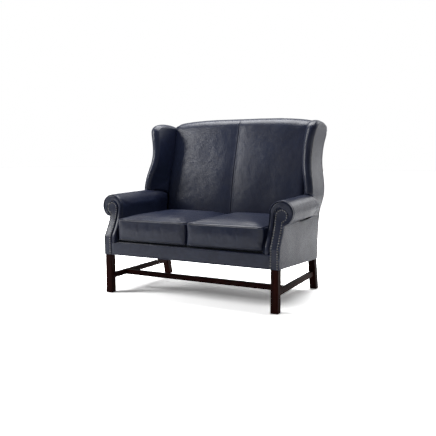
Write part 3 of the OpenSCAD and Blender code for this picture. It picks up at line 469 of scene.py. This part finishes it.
# %% [markdown]
# The cushion cores are open foam, a crowd of tiny pits. The nails are antiqued metal: fully
# metallic, darker in a cloud of tarnish, and scratched fine. A metal's colour is the tint
# of what it mirrors, so both tones stay near to grey.

# %% Foam and nails
FOAM_SKIN, FOAM_PIT = (0.74, 0.70, 0.52), (0.52, 0.47, 0.30)
TARNISHED, RUBBED_METAL = (0.105, 0.105, 0.108), (0.28, 0.28, 0.285)

foam, tree, shader = finish("foam")
pits = tree.nodes.new("ShaderNodeTexVoronoi")
pits.inputs["Scale"].default_value = 700
tree.links.new(coordinates(tree), pits.inputs["Vector"])
hollow = ramp(tree, pits.outputs["Distance"], 0.1, 0.7)
tree.links.new(colour_mix(tree, hollow, FOAM_SKIN, FOAM_PIT), shader.inputs["Base Color"])
tree.links.new(bump_of(tree, pits.outputs["Distance"], 0.0008, strength=0.7), shader.inputs["Normal"])
shader.inputs["Roughness"].default_value = 0.95

pewter, tree, shader = finish("antiqued nail")
spots = noise_at(tree, coordinates(tree), 230, detail=4, rough=0.6)
scratches = noise_at(tree, coordinates(tree), 900)
tarnish = ramp(tree, spots, 0.42, 0.62)
tint = colour_mix(tree, tarnish, TARNISHED, RUBBED_METAL)
tree.links.new(tint, shader.inputs["Base Color"])
tree.links.new(ramp(tree, spots, 0.4, 0.65, 0.42, 0.24), shader.inputs["Roughness"])
relief = bump_of(tree, maths(tree, "ADD", spots, scratches), 0.0004, strength=0.35)
tree.links.new(relief, shader.inputs["Normal"])
shader.inputs["Metallic"].default_value = 1.0
print(len(bpy.data.materials), "materials")

# %% [markdown]
# The pieces are shaped with arrays of points, which is far quicker than moving vertices one
# by one. These helpers read and write a mesh's points, paint a value on them, and bake an
# object with its modifiers into a plain mesh.

# %% Mesh helpers
def points_of(mesh):
    """The vertices of a mesh as an array."""
    flat = np.empty(3 * len(mesh.vertices), dtype=np.float32)
    mesh.vertices.foreach_get("co", flat)
    return flat.reshape(-1, 3).astype(float)


def normals_of(mesh):
    """The vertex normals of a mesh as an array."""
    flat = np.empty(3 * len(mesh.vertices), dtype=np.float32)
    mesh.vertex_normals.foreach_get("vector", flat)
    return flat.reshape(-1, 3).astype(float)


def put_points(mesh, points):
    """Moves the vertices of a mesh."""
    mesh.vertices.foreach_set("co", points.astype(np.float32).ravel())
    mesh.update()


def paint(mesh, name, values):
    """Stores one number a vertex for the shaders."""
    layer = mesh.attributes.get(name) or mesh.attributes.new(name, "FLOAT", "POINT")
    layer.data.foreach_set("value", np.clip(values, 0, 1).astype(np.float32))


def add_object(name, mesh):
    """A new object in the scene."""
    piece = bpy.data.objects.new(name, mesh)
    scene.collection.objects.link(piece)
    return piece


def mesh_from(bm, name):
    """A new mesh from a bmesh, which is freed."""
    mesh = bpy.data.meshes.new(name)
    bm.to_mesh(mesh)
    bm.free()
    return mesh


def baked(piece):
    """The object's mesh with its modifiers worked in."""
    graph = bpy.context.evaluated_depsgraph_get()
    return bpy.data.meshes.new_from_object(piece.evaluated_get(graph))


def swap_mesh(piece, mesh):
    """Gives an object another mesh and clears its modifiers."""
    piece.modifiers.clear()
    piece.data = mesh


def smooth_up(piece):
    """Subdivides a piece once and bakes it."""
    extra = piece.modifiers.new("smooth", "SUBSURF")
    extra.levels = 1
    extra.render_levels = 1
    swap_mesh(piece, baked(piece))


print("mesh helpers ready")

# %% [markdown]
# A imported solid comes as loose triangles, and a cushion's solid also has a hollow for its
# core. The points are joined first. Then the mesh falls into its separate shells, found by
# walking from point to point, and the widest shell is the outer surface.

# %% Shells
SAME_POINT = 2e-5


def loose_parts(bm):
    """The points of a bmesh, as one list for each part that hangs together."""
    seen, parts = set(), []
    for start in bm.verts:
        if start in seen:
            continue
        part, stack = [], [start]
        seen.add(start)
        while stack:
            v = stack.pop()
            part.append(v)
            for e in v.link_edges:
                w = e.other_vert(v)
                if w not in seen:
                    seen.add(w)
                    stack.append(w)
        parts.append(part)
    return parts


def joined_mesh(node):
    """A node's solid as a bmesh with joined points."""
    bm = bmesh.new()
    bm.from_mesh(nodes[node].data)
    bmesh.ops.remove_doubles(bm, verts=bm.verts, dist=SAME_POINT)
    return bm


def shell_of(node):
    """A node's outer surface as a bmesh, without any inner cavity."""
    bm = joined_mesh(node)
    shells = loose_parts(bm)
    spans = [max(v.co.x for v in shell) - min(v.co.x for v in shell) for shell in shells]
    outer = set(shells[spans.index(max(spans))])
    bmesh.ops.delete(bm, geom=[v for v in bm.verts if v not in outer], context="VERTS")
    bmesh.ops.recalc_face_normals(bm, faces=bm.faces)
    return bm


print("shell helpers ready")

# %% [markdown]
# Leather is never quite even. Smooth noise pushes a cover in and out by about a millimetre,
# which is enough to break up what it mirrors. Wear follows the shape as well: where the
# surface bulges, hands and cloth rub it, so the bulge is measured from each point's
# neighbours.

# %% Unevenness and wear
RUB_STARTS = 12
RUB_SPAN = 60


def eased(t):
    """Smooth step from 0 to 1."""
    t = np.clip(t, 0, 1)
    return t * t * (3 - 2 * t)


def wavy(points, scale, seed):
    """Smooth noise at points, about -1 to 1."""
    shift = Vector((seed, 1.7 * seed, -seed))
    return np.array([noise.noise(Vector(p) * scale + shift) for p in points])


def unsettle(mesh, layers):
    """Pushes a surface in and out by layers of noise, each (height, scale, seed)."""
    points, normals = points_of(mesh), normals_of(mesh)
    rise = sum(height * wavy(points, scale, seed) for height, scale, seed in layers)
    put_points(mesh, points + normals * rise[:, None])


def convexity(mesh):
    """How strongly the surface bulges at each vertex, for wear: flat is 0."""
    points, normals = points_of(mesh), normals_of(mesh)
    edges = np.empty(2 * len(mesh.edges), dtype=np.int32)
    mesh.edges.foreach_get("vertices", edges)
    a, b = edges.reshape(-1, 2).T
    span = points[b] - points[a]
    total, count, length = np.zeros_like(points), np.zeros(len(points)), np.zeros(len(points))
    for i, step in ((a, span), (b, -span)):
        np.add.at(total, i, step)
        np.add.at(count, i, 1)
        np.add.at(length, i, np.linalg.norm(step, axis=1))
    mean = length / np.maximum(count, 1)
    rise = -np.einsum("ij,ij->i", total / np.maximum(count, 1)[:, None], normals)
    return rise / np.maximum(mean, 1e-6) ** 2


def dress(piece, node, body, material):
    """Finishes a piece: wear, smooth shading, material, and its place in the frame."""
    mesh = piece.data
    mesh.shade_smooth()
    paint(mesh, "rub", (convexity(mesh) - RUB_STARTS) / RUB_SPAN)
    mesh.materials.clear()
    mesh.materials.append(material)
    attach(piece, body)
    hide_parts(node)
    print(piece.name, len(mesh.polygons), "faces")


print("dressing ready")

# %% [markdown]
# A seam is two hides turned in and sewn, so it is a groove with a soft lip on each side. To
# keep it crisp without a dense mesh everywhere, the mesh is cut along the seam and beside
# it, and only those new points sink. The cut can follow a curved face: the points are
# sheared so that the seam lies in a plane, cut, and sheared back.

# %% Seams
SEAM_STEPS = (-0.006, -0.0032, -0.0014, 0.0, 0.0014, 0.0032, 0.006)
GROOVE_WIDTH = 0.0019
LIP_OFFSET = 0.0052
LIP_WIDTH = 0.0026
SHADE_WIDTH = 0.0016


def plane_at(axis, spot):
    """A plane across an axis, 0 to 2, as bisect_plane takes it."""
    point, normal = [0, 0, 0], [0, 0, 0]
    point[axis] = spot
    normal[axis] = 1
    return {"plane_co": point, "plane_no": normal}


def cut_along(mesh, axis, places, shear=None):
    """Cuts a mesh at places along an axis. Shear gives an offset for each point along that
    axis, so that a curved line becomes a plane for the cut."""
    bm = bmesh.new()
    bm.from_mesh(mesh)
    if shear is not None:
        for v in bm.verts:
            v.co[axis] -= shear(v.co)
    for spot in places:
        faces = [f for f in bm.faces
                 if min(v.co[axis] for v in f.verts) < spot < max(v.co[axis] for v in f.verts)]
        edges = {e for f in faces for e in f.edges}
        verts = {v for f in faces for v in f.verts}
        bmesh.ops.bisect_plane(bm, geom=list(verts) + list(edges) + faces, dist=SAME_POINT,
                               **plane_at(axis, spot))
    if shear is not None:
        for v in bm.verts:
            v.co[axis] += shear(v.co)
    bm.to_mesh(mesh)
    bm.free()
    mesh.update()


def sink(mesh, offset, where, depth, lip):
    """Sinks a groove where offset, the distance from the seam, is 0, and paints the seam mask, which the
    leather darkens as painted shade.
    """
    points, normals = points_of(mesh), normals_of(mesh)
    groove = np.exp(-(offset / GROOVE_WIDTH) ** 2) * where
    swell = np.exp(-((np.abs(offset) - LIP_OFFSET) / LIP_WIDTH) ** 2) * where
    put_points(mesh, points + normals * (lip * swell - depth * groove)[:, None])
    layer = mesh.attributes.get("seam")
    painted = np.zeros(len(points), dtype=np.float32)
    if layer:
        layer.data.foreach_get("value", painted)
    # The seam mask is painted shade: the leather's colour darkens along it.
    paint(mesh, "seam", np.maximum(painted, np.exp(-(offset / SHADE_WIDTH) ** 2) * where))


print("seams ready")

# %% [markdown]
# A padded piece starts as its CAD solid. Its triangles are joined to quads and smoothed by
# subdivision, which takes the facets out, and a voxel remesh spreads even quads over it
# where cloth will fill it. Subdivision draws a shape in, so its cage is pushed out first
# until the smooth surface passes through the solid's own corners.

# %% Padded shapes
CAGE_ROUNDS = 3
CAGE_STEP = 0.9


def soft_start(node, voxel=0, relax=2):
    """An object over a node's solid: smooth, and with even quads when voxel isn't 0."""
    bm = shell_of(node)
    bmesh.ops.join_triangles(bm, faces=bm.faces, angle_face_threshold=math.radians(35),
                             angle_shape_threshold=math.radians(70))
    mesh = mesh_from(bm, "soft_" + node)
    piece = add_object("leather_" + node, mesh)
    smooth = piece.modifiers.new("rounds", "SUBSURF")
    smooth.levels = 2
    smooth.render_levels = 2
    aim = points_of(mesh)
    cage = aim.copy()
    for turn in range(CAGE_ROUNDS):
        cage += CAGE_STEP * (aim - points_of(baked(piece))[:len(aim)])
        put_points(mesh, cage)
    if voxel:
        remesh = piece.modifiers.new("quads", "REMESH")
        remesh.mode = "VOXEL"
        remesh.voxel_size = voxel
    ease = piece.modifiers.new("ease", "SMOOTH")
    ease.factor = 0.5
    ease.iterations = relax
    swap_mesh(piece, baked(piece))
    return piece


def weigh(piece, name, weights):
    """Gives a piece a vertex group with a weight for each point."""
    group = piece.vertex_groups.new(name=name)
    for i, share in enumerate(weights):
        if share > 0.02:
            group.add([i], float(share), "REPLACE")


def calm(piece, turns, where=None):
    """Eases out small ripples, all over or by a weight for each point."""
    ease = piece.modifiers.new("calm", "SMOOTH")
    ease.factor = 0.5
    ease.iterations = turns
    if where is not None:
        weigh(piece, "calm", where)
        ease.vertex_group = "calm"
    mesh = baked(piece)
    piece.vertex_groups.clear()
    swap_mesh(piece, mesh)


print("padding ready")

# %% [markdown]
# Cloth with inner pressure fills a cover between its pinned seams. The gain of a simulation
# over a drawn bulge is that the leather stretches evenly and gathers where it is held. All
# covers fill together in twenty frames. Each then keeps only as much of its swelling as
# real padding gives, and its small ripples are eased out, because tight hide has none.

# %% Filling with cloth
FILL_FRAMES = 20
CLOTH_MASS = 0.4
STRETCH = 22
SHEAR = 12
BEND = 2.2


def stuff_cloth(job):
    """Puts a cloth under pressure on a piece. It is held where job.free is 0."""
    weigh(job.piece, "held", 1 - np.clip(job.free, 0, 1))
    fill = job.piece.modifiers.new("fill", "CLOTH")
    rules = fill.settings
    rules.quality = 5
    rules.mass = CLOTH_MASS
    rules.tension_stiffness = rules.compression_stiffness = STRETCH
    rules.shear_stiffness = SHEAR
    rules.bending_stiffness = BEND
    rules.use_pressure = True
    rules.uniform_pressure_force = job.pressure
    rules.shrink_min = -job.slack
    rules.effector_weights.gravity = 0
    rules.vertex_group_mass = "held"
    fill.collision_settings.use_collision = False
    fill.point_cache.frame_start = 1
    fill.point_cache.frame_end = FILL_FRAMES


def fill_up(jobs):
    """Runs the cloth of all jobs together. A job has a piece, free for where it may move,
    cap for how far in metres, pressure, slack, and turns of easing afterwards."""
    for job in jobs:
        job.start = points_of(job.piece.data)
        stuff_cloth(job)
    for step in range(1, FILL_FRAMES + 1):
        scene.frame_set(step)
    for job in jobs:
        mesh = baked(job.piece)
        move = points_of(mesh) - job.start
        far = np.linalg.norm(move, axis=1)
        kept = job.cap * np.tanh(far / job.cap)
        move *= (kept / np.maximum(far, 1e-9))[:, None]
        job.piece.vertex_groups.clear()
        swap_mesh(job.piece, mesh)
        put_points(mesh, job.start + move)
        calm(job.piece, job.turns)
        print(job.piece.name, "swelled by up to", round(1000 * float(kept.max()), 1), "mm")
    scene.frame_set(1)


def clear_of(distance, held, grows):
    """0 up to held metres from an edge, then growing smoothly to 1."""
    return eased((distance - held) / grows)


def off_seam(distance, width):
    """0 on a seam and 1 well away from it."""
    return 1 - np.exp(-(distance / width) ** 2)


jobs = []
print("cloth ready")

# %% [markdown]
# ## The seat cushions
# Each seat cushion is a boxed cover: a crowned top, a flat bottom and a strip of boxing
# round the sides, sewn at two seams. The seams hold the cover, so the boxing and the crown
# swell between them. The bottom lies flat on the platform.

# %% Seat cushions
CUSHION_QUADS = 0.0065
BOXING_HEIGHT = 0.122

seat_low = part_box("seat_cushion_right")[0].z
seam_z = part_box("seat_platform")[1].z + BOXING_HEIGHT
cushions = {}
for side in ("left", "right"):
    piece = soft_start("seat_cushion_" + side, voxel=CUSHION_QUADS)
    z = points_of(piece.data)[:, 2]
    free = clear_of(z - seat_low, held=0.012, grows=0.02) * off_seam(z - seam_z, 0.010)
    jobs.append(SimpleNamespace(piece=piece, free=free, cap=0.006, pressure=3.5, slack=0.004, turns=3))
    cushions[side] = piece
print("cushion seams at", round(seam_z, 3), "m")

# %% [markdown]
# ## The inside back
# One tall cover in two hides with a seam up the middle. It rolls over the crest and is held
# along the seam, at the sides behind the wings and down at the seat. It is drawn tight, so
# it gets no slack, and its ripples are eased the most.

# %% Inside back
BACK_QUADS = 0.007

back = soft_start("inside_back", voxel=BACK_QUADS)
back_low, back_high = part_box("inside_back")
p, n = points_of(back.data), normals_of(back.data)
free = off_seam(p[:, 0], 0.014) * clear_of(back_high.x - np.abs(p[:, 0]), held=0.012, grows=0.05)
free *= clear_of(p[:, 2] - back_low.z, held=0.02, grows=0.08) * (n[:, 1] < 0.3)
jobs.append(SimpleNamespace(piece=back, free=free, cap=0.005, pressure=3.0, slack=0.0, turns=12))
print("back held at", int((free == 0).sum()), "of", len(free), "points")

# %% [markdown]
# ## The arms and the wings
# The arm's leather comes up from the seat, turns over the scroll and goes down to the
# outside arm. Its nose is padded and gathered round the facing at the front. A few cuts
# along the arm give the cloth enough points to swell between. The inside wings are tight
# over their boards, so they get no cloth: a smooth surface is all that they need.

# %% Arms and wings
ARM_STEP = 0.012
NOSE = 0.05

arms = {}
for side in ("left", "right"):
    piece = soft_start("arm_pad_" + side, relax=1)
    low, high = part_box("arm_pad_" + side)
    cuts = int((high.y - low.y - 0.08) / ARM_STEP)
    cut_along(piece.data, 1, [low.y + NOSE + ARM_STEP * k for k in range(cuts)])
    p = points_of(piece.data)
    free = clear_of(high.y - p[:, 1], held=0.05, grows=0.08) \
        * clear_of(p[:, 1] - low.y, held=0.03, grows=0.06) \
        * clear_of(p[:, 2] - low.z, held=0.02, grows=0.06)
    jobs.append(SimpleNamespace(piece=piece, free=free, cap=0.003, pressure=2.0, slack=0.002, turns=2))
    arms[side] = piece

wings = {side: soft_start("inside_wing_" + side) for side in ("left", "right")}
fill_up(jobs)
print(len(jobs), "covers filled")

# %% [markdown]
# With the padding done, the seams go in. On a cushion they run level round the boxing, top
# and bottom. The cover's edge at the seam stays crisp and catches the light. The four
# slopes of the crown meet in hard lines on the CAD solid, which real foam never shows, so
# the crown is eased first while the seam stays as it is.

# %% Finish the seat cushions
CROWN_TURNS = 60
BOTTOM_SEAM_RISE = 0.006
CUSHION_SEEDS = {"left": 3, "right": 8}

bottom_z = seat_low + BOTTOM_SEAM_RISE
for side, piece in cushions.items():
    above = points_of(piece.data)[:, 2] - seam_z
    calm(piece, CROWN_TURNS, clear_of(above, held=0.003, grows=0.010))
    mesh = piece.data
    cut_along(mesh, 2, [seam_z + s for s in SEAM_STEPS] + [bottom_z + s for s in SEAM_STEPS[1:-1]])
    unsettle(mesh, [(0.0011, 14, CUSHION_SEEDS[side])])
    for seam, depth, lip in ((seam_z, 0.0026, 0.0010), (bottom_z, 0.0018, 0.0004)):
        z = points_of(mesh)[:, 2]
        sink(mesh, z - seam, np.ones(len(z)), depth, lip)
    smooth_up(piece)
    dress(piece, "seat_cushion_" + side, "cushion_" + side, navy)

# %% [markdown]
# The back's one seam runs straight up the middle and over the crest. Only the faces that
# look forward or up get the groove: the rear is hidden under the outside back.

# %% Finish the inside back
mesh = back.data
cut_along(mesh, 0, SEAM_STEPS)
unsettle(mesh, [(0.0016, 7, 5), (0.0005, 28, 2)])
p, n = points_of(mesh), normals_of(mesh)
sink(mesh, p[:, 0], (n[:, 1] < 0.5).astype(float), depth=0.0026, lip=0.0004)
smooth_up(back)
dress(back, "inside_back", "frame", navy)

# %% [markdown]
# On an arm the seam runs round the rim of the facing. The arm's front steps back as it
# rises, in an S, so the seam isn't in a plane: the cut is sheared by the same curve that
# sets the front back. The wings get only a slow unevenness.

# %% Finish the arms and wings
SET_BACK = 0.070
SET_FROM, SET_TO = 0.345, 0.540
SET_SHAPE = 0.62
RIM = 0.006


def arm_front(z):
    """Where the arm's front lies at a height, as a place along Y."""
    t = np.clip((z - SET_FROM) / (SET_TO - SET_FROM), 0, 1) ** SET_SHAPE
    return SET_BACK * (1 - np.cos(np.pi * t)) / 2 - front_edge


for side, piece in arms.items():
    mesh = piece.data
    cut_along(mesh, 1, [RIM + s for s in SEAM_STEPS], shear=lambda co: float(arm_front(co.z)))
    unsettle(mesh, [(0.0009, 11, 4), (0.0004, 40, 9)])
    p = points_of(mesh)
    sink(mesh, p[:, 1] - arm_front(p[:, 2]) - RIM, np.ones(len(p)), depth=0.0016, lip=0.0006)
    smooth_up(piece)
    dress(piece, "arm_pad_" + side, "frame", navy)

for side, piece in wings.items():
    smooth_up(piece)
    unsettle(piece.data, [(0.0009, 9, 6)])
    dress(piece, "inside_wing_" + side, "frame", navy)

# %% [markdown]
# ## Covers stretched over the frame
# The outside panels are leather over thin wadding, tacked or nailed down at their edges. Each
# starts as its CAD solid, gets a grid of cuts, and then its outer face rises softly from the
# edges, which roll under. The edges are found from the mesh: they are where an outward face
# meets one that isn't.

# %% Panels
ROLL_DROP = 0.6
WADDING_RISE = 0.035
UNEVEN = 0.0006
UNEVEN_SCALE = 9
UNEVEN_SHIFT = Vector((1, 0, 0))
RIM_POINTS = 5


def grid_cuts(bm, node, axes, spacing):
    """Cuts a bmesh of a node by evenly spaced planes along some axes."""
    low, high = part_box(node)
    for axis in axes:
        count = int((high[axis] - low[axis]) / spacing)
        for k in range(1, count + 1):
            spot = low[axis] + (high[axis] - low[axis]) * k / (count + 1)
            bmesh.ops.bisect_plane(bm, geom=bm.verts[:] + bm.edges[:] + bm.faces[:], dist=1e-4,
                                   **plane_at(axis, spot))
    bmesh.ops.triangulate(bm, faces=[f for f in bm.faces if len(f.verts) > 4])
    bm.normal_update()


def rim_tree(bm, shows):
    """A search tree of points along the edges where the faces that show end."""
    rim = [e for e in bm.edges if len([f for f in e.link_faces if f in shows]) == 1]
    tree = KDTree(len(rim) * RIM_POINTS)
    for e in rim:
        for k in range(RIM_POINTS):
            tree.insert(e.verts[0].co.lerp(e.verts[1].co, k / (RIM_POINTS - 1)), 0)
    tree.balance()
    return tree


def panel(node, outward, spacing, axes, roll, puff):
    """A leather panel over a node. Outward is the side that shows, as a vector; spacing is
    the grid's step; roll rounds the edges and puff lifts the middle."""
    bm = shell_of(node)
    grid_cuts(bm, node, axes, spacing)
    outward = Vector(outward).normalized()
    shows = {f for f in bm.faces if f.normal.dot(outward) > 0.35}
    tree = rim_tree(bm, shows)
    normals = {}
    for f in shows:
        for v in f.verts:
            normals[v] = normals.get(v, Vector()) + f.normal
    moves = {}
    for v, normal in normals.items():
        d = tree.find(v.co)[2]
        t = min(d / roll, 1)
        drop = ROLL_DROP * roll * (1 - math.sqrt(1 - (1 - t) ** 2))
        uneven = UNEVEN * noise.noise(v.co * UNEVEN_SCALE + UNEVEN_SHIFT)
        lift = puff * (1 - math.exp(-d / WADDING_RISE)) + uneven
        moves[v] = normal.normalized() * (lift * t - drop)
    for v, move in moves.items():
        v.co += move
    return add_object("leather_" + node, mesh_from(bm, "panel_" + node))


def cover(node, outward, **shape):
    """Makes a panel and dresses it."""
    dress(panel(node, outward, **shape), node, "frame", navy)


for side, out in (("left", -1), ("right", 1)):
    cover("outside_arm_" + side, (out, 0, 0), spacing=0.014, axes=(1, 2), roll=0.0035, puff=0.002)
    cover("outside_wing_" + side, (out, 0, 0), spacing=0.010, axes=(1, 2), roll=0.0035, puff=0.001)
    cover("arm_facing_" + side, (0, -1, 0), spacing=0.006, axes=(0, 2), roll=0.004, puff=0.0015)
cover("outside_back", (0, 1, 0), spacing=0.016, axes=(0, 2), roll=0.005, puff=0.002)
cover("front_border", (0, -1, 0), spacing=0.012, axes=(0, 2), roll=0.006, puff=0.002)

# %% [markdown]
# ## Nails
# Each decorative nail is a domed head. The CAD places them along the edge; here each gets a
# smooth dome with a turned-in rim. Its place and tilt come from its CAD head: the thin
# direction of its points is the nail's axis, and the flat bottom, which holds the most
# points, says which way is up.

# %% Nails
FLAT = 0.0004
DOME = [(1.0, 0.0), (1.0, 0.12), (0.93, 0.36), (0.80, 0.60), (0.60, 0.80), (0.33, 0.94)]
NAIL_SIDES = 14


def nail_heads(node):
    """(centre, normal, radius, rise) of each head of a node."""
    bm = joined_mesh(node)
    heads = []
    for part in loose_parts(bm):
        p = np.array([v.co for v in part])
        middle = p.mean(axis=0)
        normal = np.linalg.eigh(np.cov((p - middle).T))[1][:, 0]
        depth = (p - middle) @ normal
        if (depth < depth.min() + FLAT).sum() < (depth > depth.max() - FLAT).sum():
            normal, depth = -normal, -depth
        base = p[depth < depth.min() + FLAT]
        centre = base.mean(axis=0)
        radius = np.linalg.norm(base - centre, axis=1).max()
        heads.append((centre, normal, float(radius), float(depth.max() - depth.min())))
    bm.free()
    return heads


def draw_head(bm, centre, normal, radius, rise):
    """Adds one smooth dome. Each ring of it is a share of the radius and of the rise."""
    up = Vector(normal)
    u = up.orthogonal().normalized()
    w = up.cross(u)
    middle = Vector(centre)
    turns = [math.tau * k / NAIL_SIDES for k in range(NAIL_SIDES)]
    rings = []
    for share, height in DOME:
        rings.append([bm.verts.new(middle + up * rise * height
                                   + radius * share * (u * math.cos(turn) + w * math.sin(turn)))
                      for turn in turns])
    top = bm.verts.new(middle + up * rise)
    for a, b in zip(rings, rings[1:]):
        for k in range(NAIL_SIDES):
            after = (k + 1) % NAIL_SIDES
            bm.faces.new((a[k], a[after], b[after], b[k]))
    for k in range(NAIL_SIDES):
        bm.faces.new((rings[-1][k], rings[-1][(k + 1) % NAIL_SIDES], top))
    bm.faces.new(list(reversed(rings[0])))


for side in ("left", "right"):
    for line in ("arm_nails_", "wing_nails_"):
        bm = bmesh.new()
        for head in nail_heads(line + side):
            draw_head(bm, *head)
        piece = add_object("heads_" + line + side, mesh_from(bm, line + side))
        dress(piece, line + side, "frame", pewter)

# %% [markdown]
# ## The pieces that stay as they were packed
# Legs, stretchers, hidden timber, webbing, platform, foam and piping keep their CAD shapes.
# They get their finishes, a fine bevel where an arris catches light, and a subdivision on
# the piping so that it reads as a cord. The back posts, the wing boards, the crest rail and
# the arm rails can be glimpsed in the tucks between two covers, where the real leather is
# drawn over them, so they wear it too.

# %% Finishes of the kept pieces
REPLACED = ("seat_cushion", "inside_", "outside_", "arm_pad", "arm_facing", "front_border", "nails")
GLIMPSED = ("back_post", "wing_board", "arm_rail", "crest_rail")
ARRIS = 0.0006
CORD_SWELL = 0.0010


def dress_kept(node, material, bevel=0.0, rounds=0):
    """Gives a CAD node its finish."""
    piece = nodes[node]
    piece.data.materials.clear()
    piece.data.materials.append(material)
    if bevel or rounds:
        joined = piece.modifiers.new("joined", "WELD")
        joined.merge_threshold = SAME_POINT
    if bevel:
        edge = piece.modifiers.new("arris", "BEVEL")
        edge.width = bevel
        edge.segments = 2
        edge.limit_method = "ANGLE"
        edge.angle_limit = math.radians(25)
        edge.harden_normals = False
    if rounds:
        smooth = piece.modifiers.new("rounds", "SUBSURF")
        smooth.levels = smooth.render_levels = rounds
        fuller = piece.modifiers.new("fuller", "DISPLACE")
        fuller.strength = CORD_SWELL
        fuller.mid_level = 0


def grain_axis(node):
    """The axis along which a piece is longest."""
    low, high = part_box(node)
    return max(range(3), key=lambda k: high[k] - low[k])


kept = [name for name in nodes if not any(word in name for word in REPLACED)]
for node in kept:
    if "leg" in node or "stretcher" in node:
        dress_kept(node, polished[grain_axis(node)], bevel=ARRIS)
    elif node in ("back_webbing", "seat_platform"):
        dress_kept(node, platform_cloth)
    elif "webbing" in node:
        dress_kept(node, jute)
    elif node == "dust_cover":
        dress_kept(node, dust_cloth)
    elif "core" in node:
        dress_kept(node, foam)
    elif node == "piping":
        # The piping wears the darker copy of the leather, which is painted shade on the cord.
        dress_kept(node, shaded_welt_leather, rounds=2)
    elif any(word in node for word in GLIMPSED):
        dress_kept(node, navy)
    else:
        dress_kept(node, beech[grain_axis(node)])
print(len(kept), "packed pieces keep their shape")
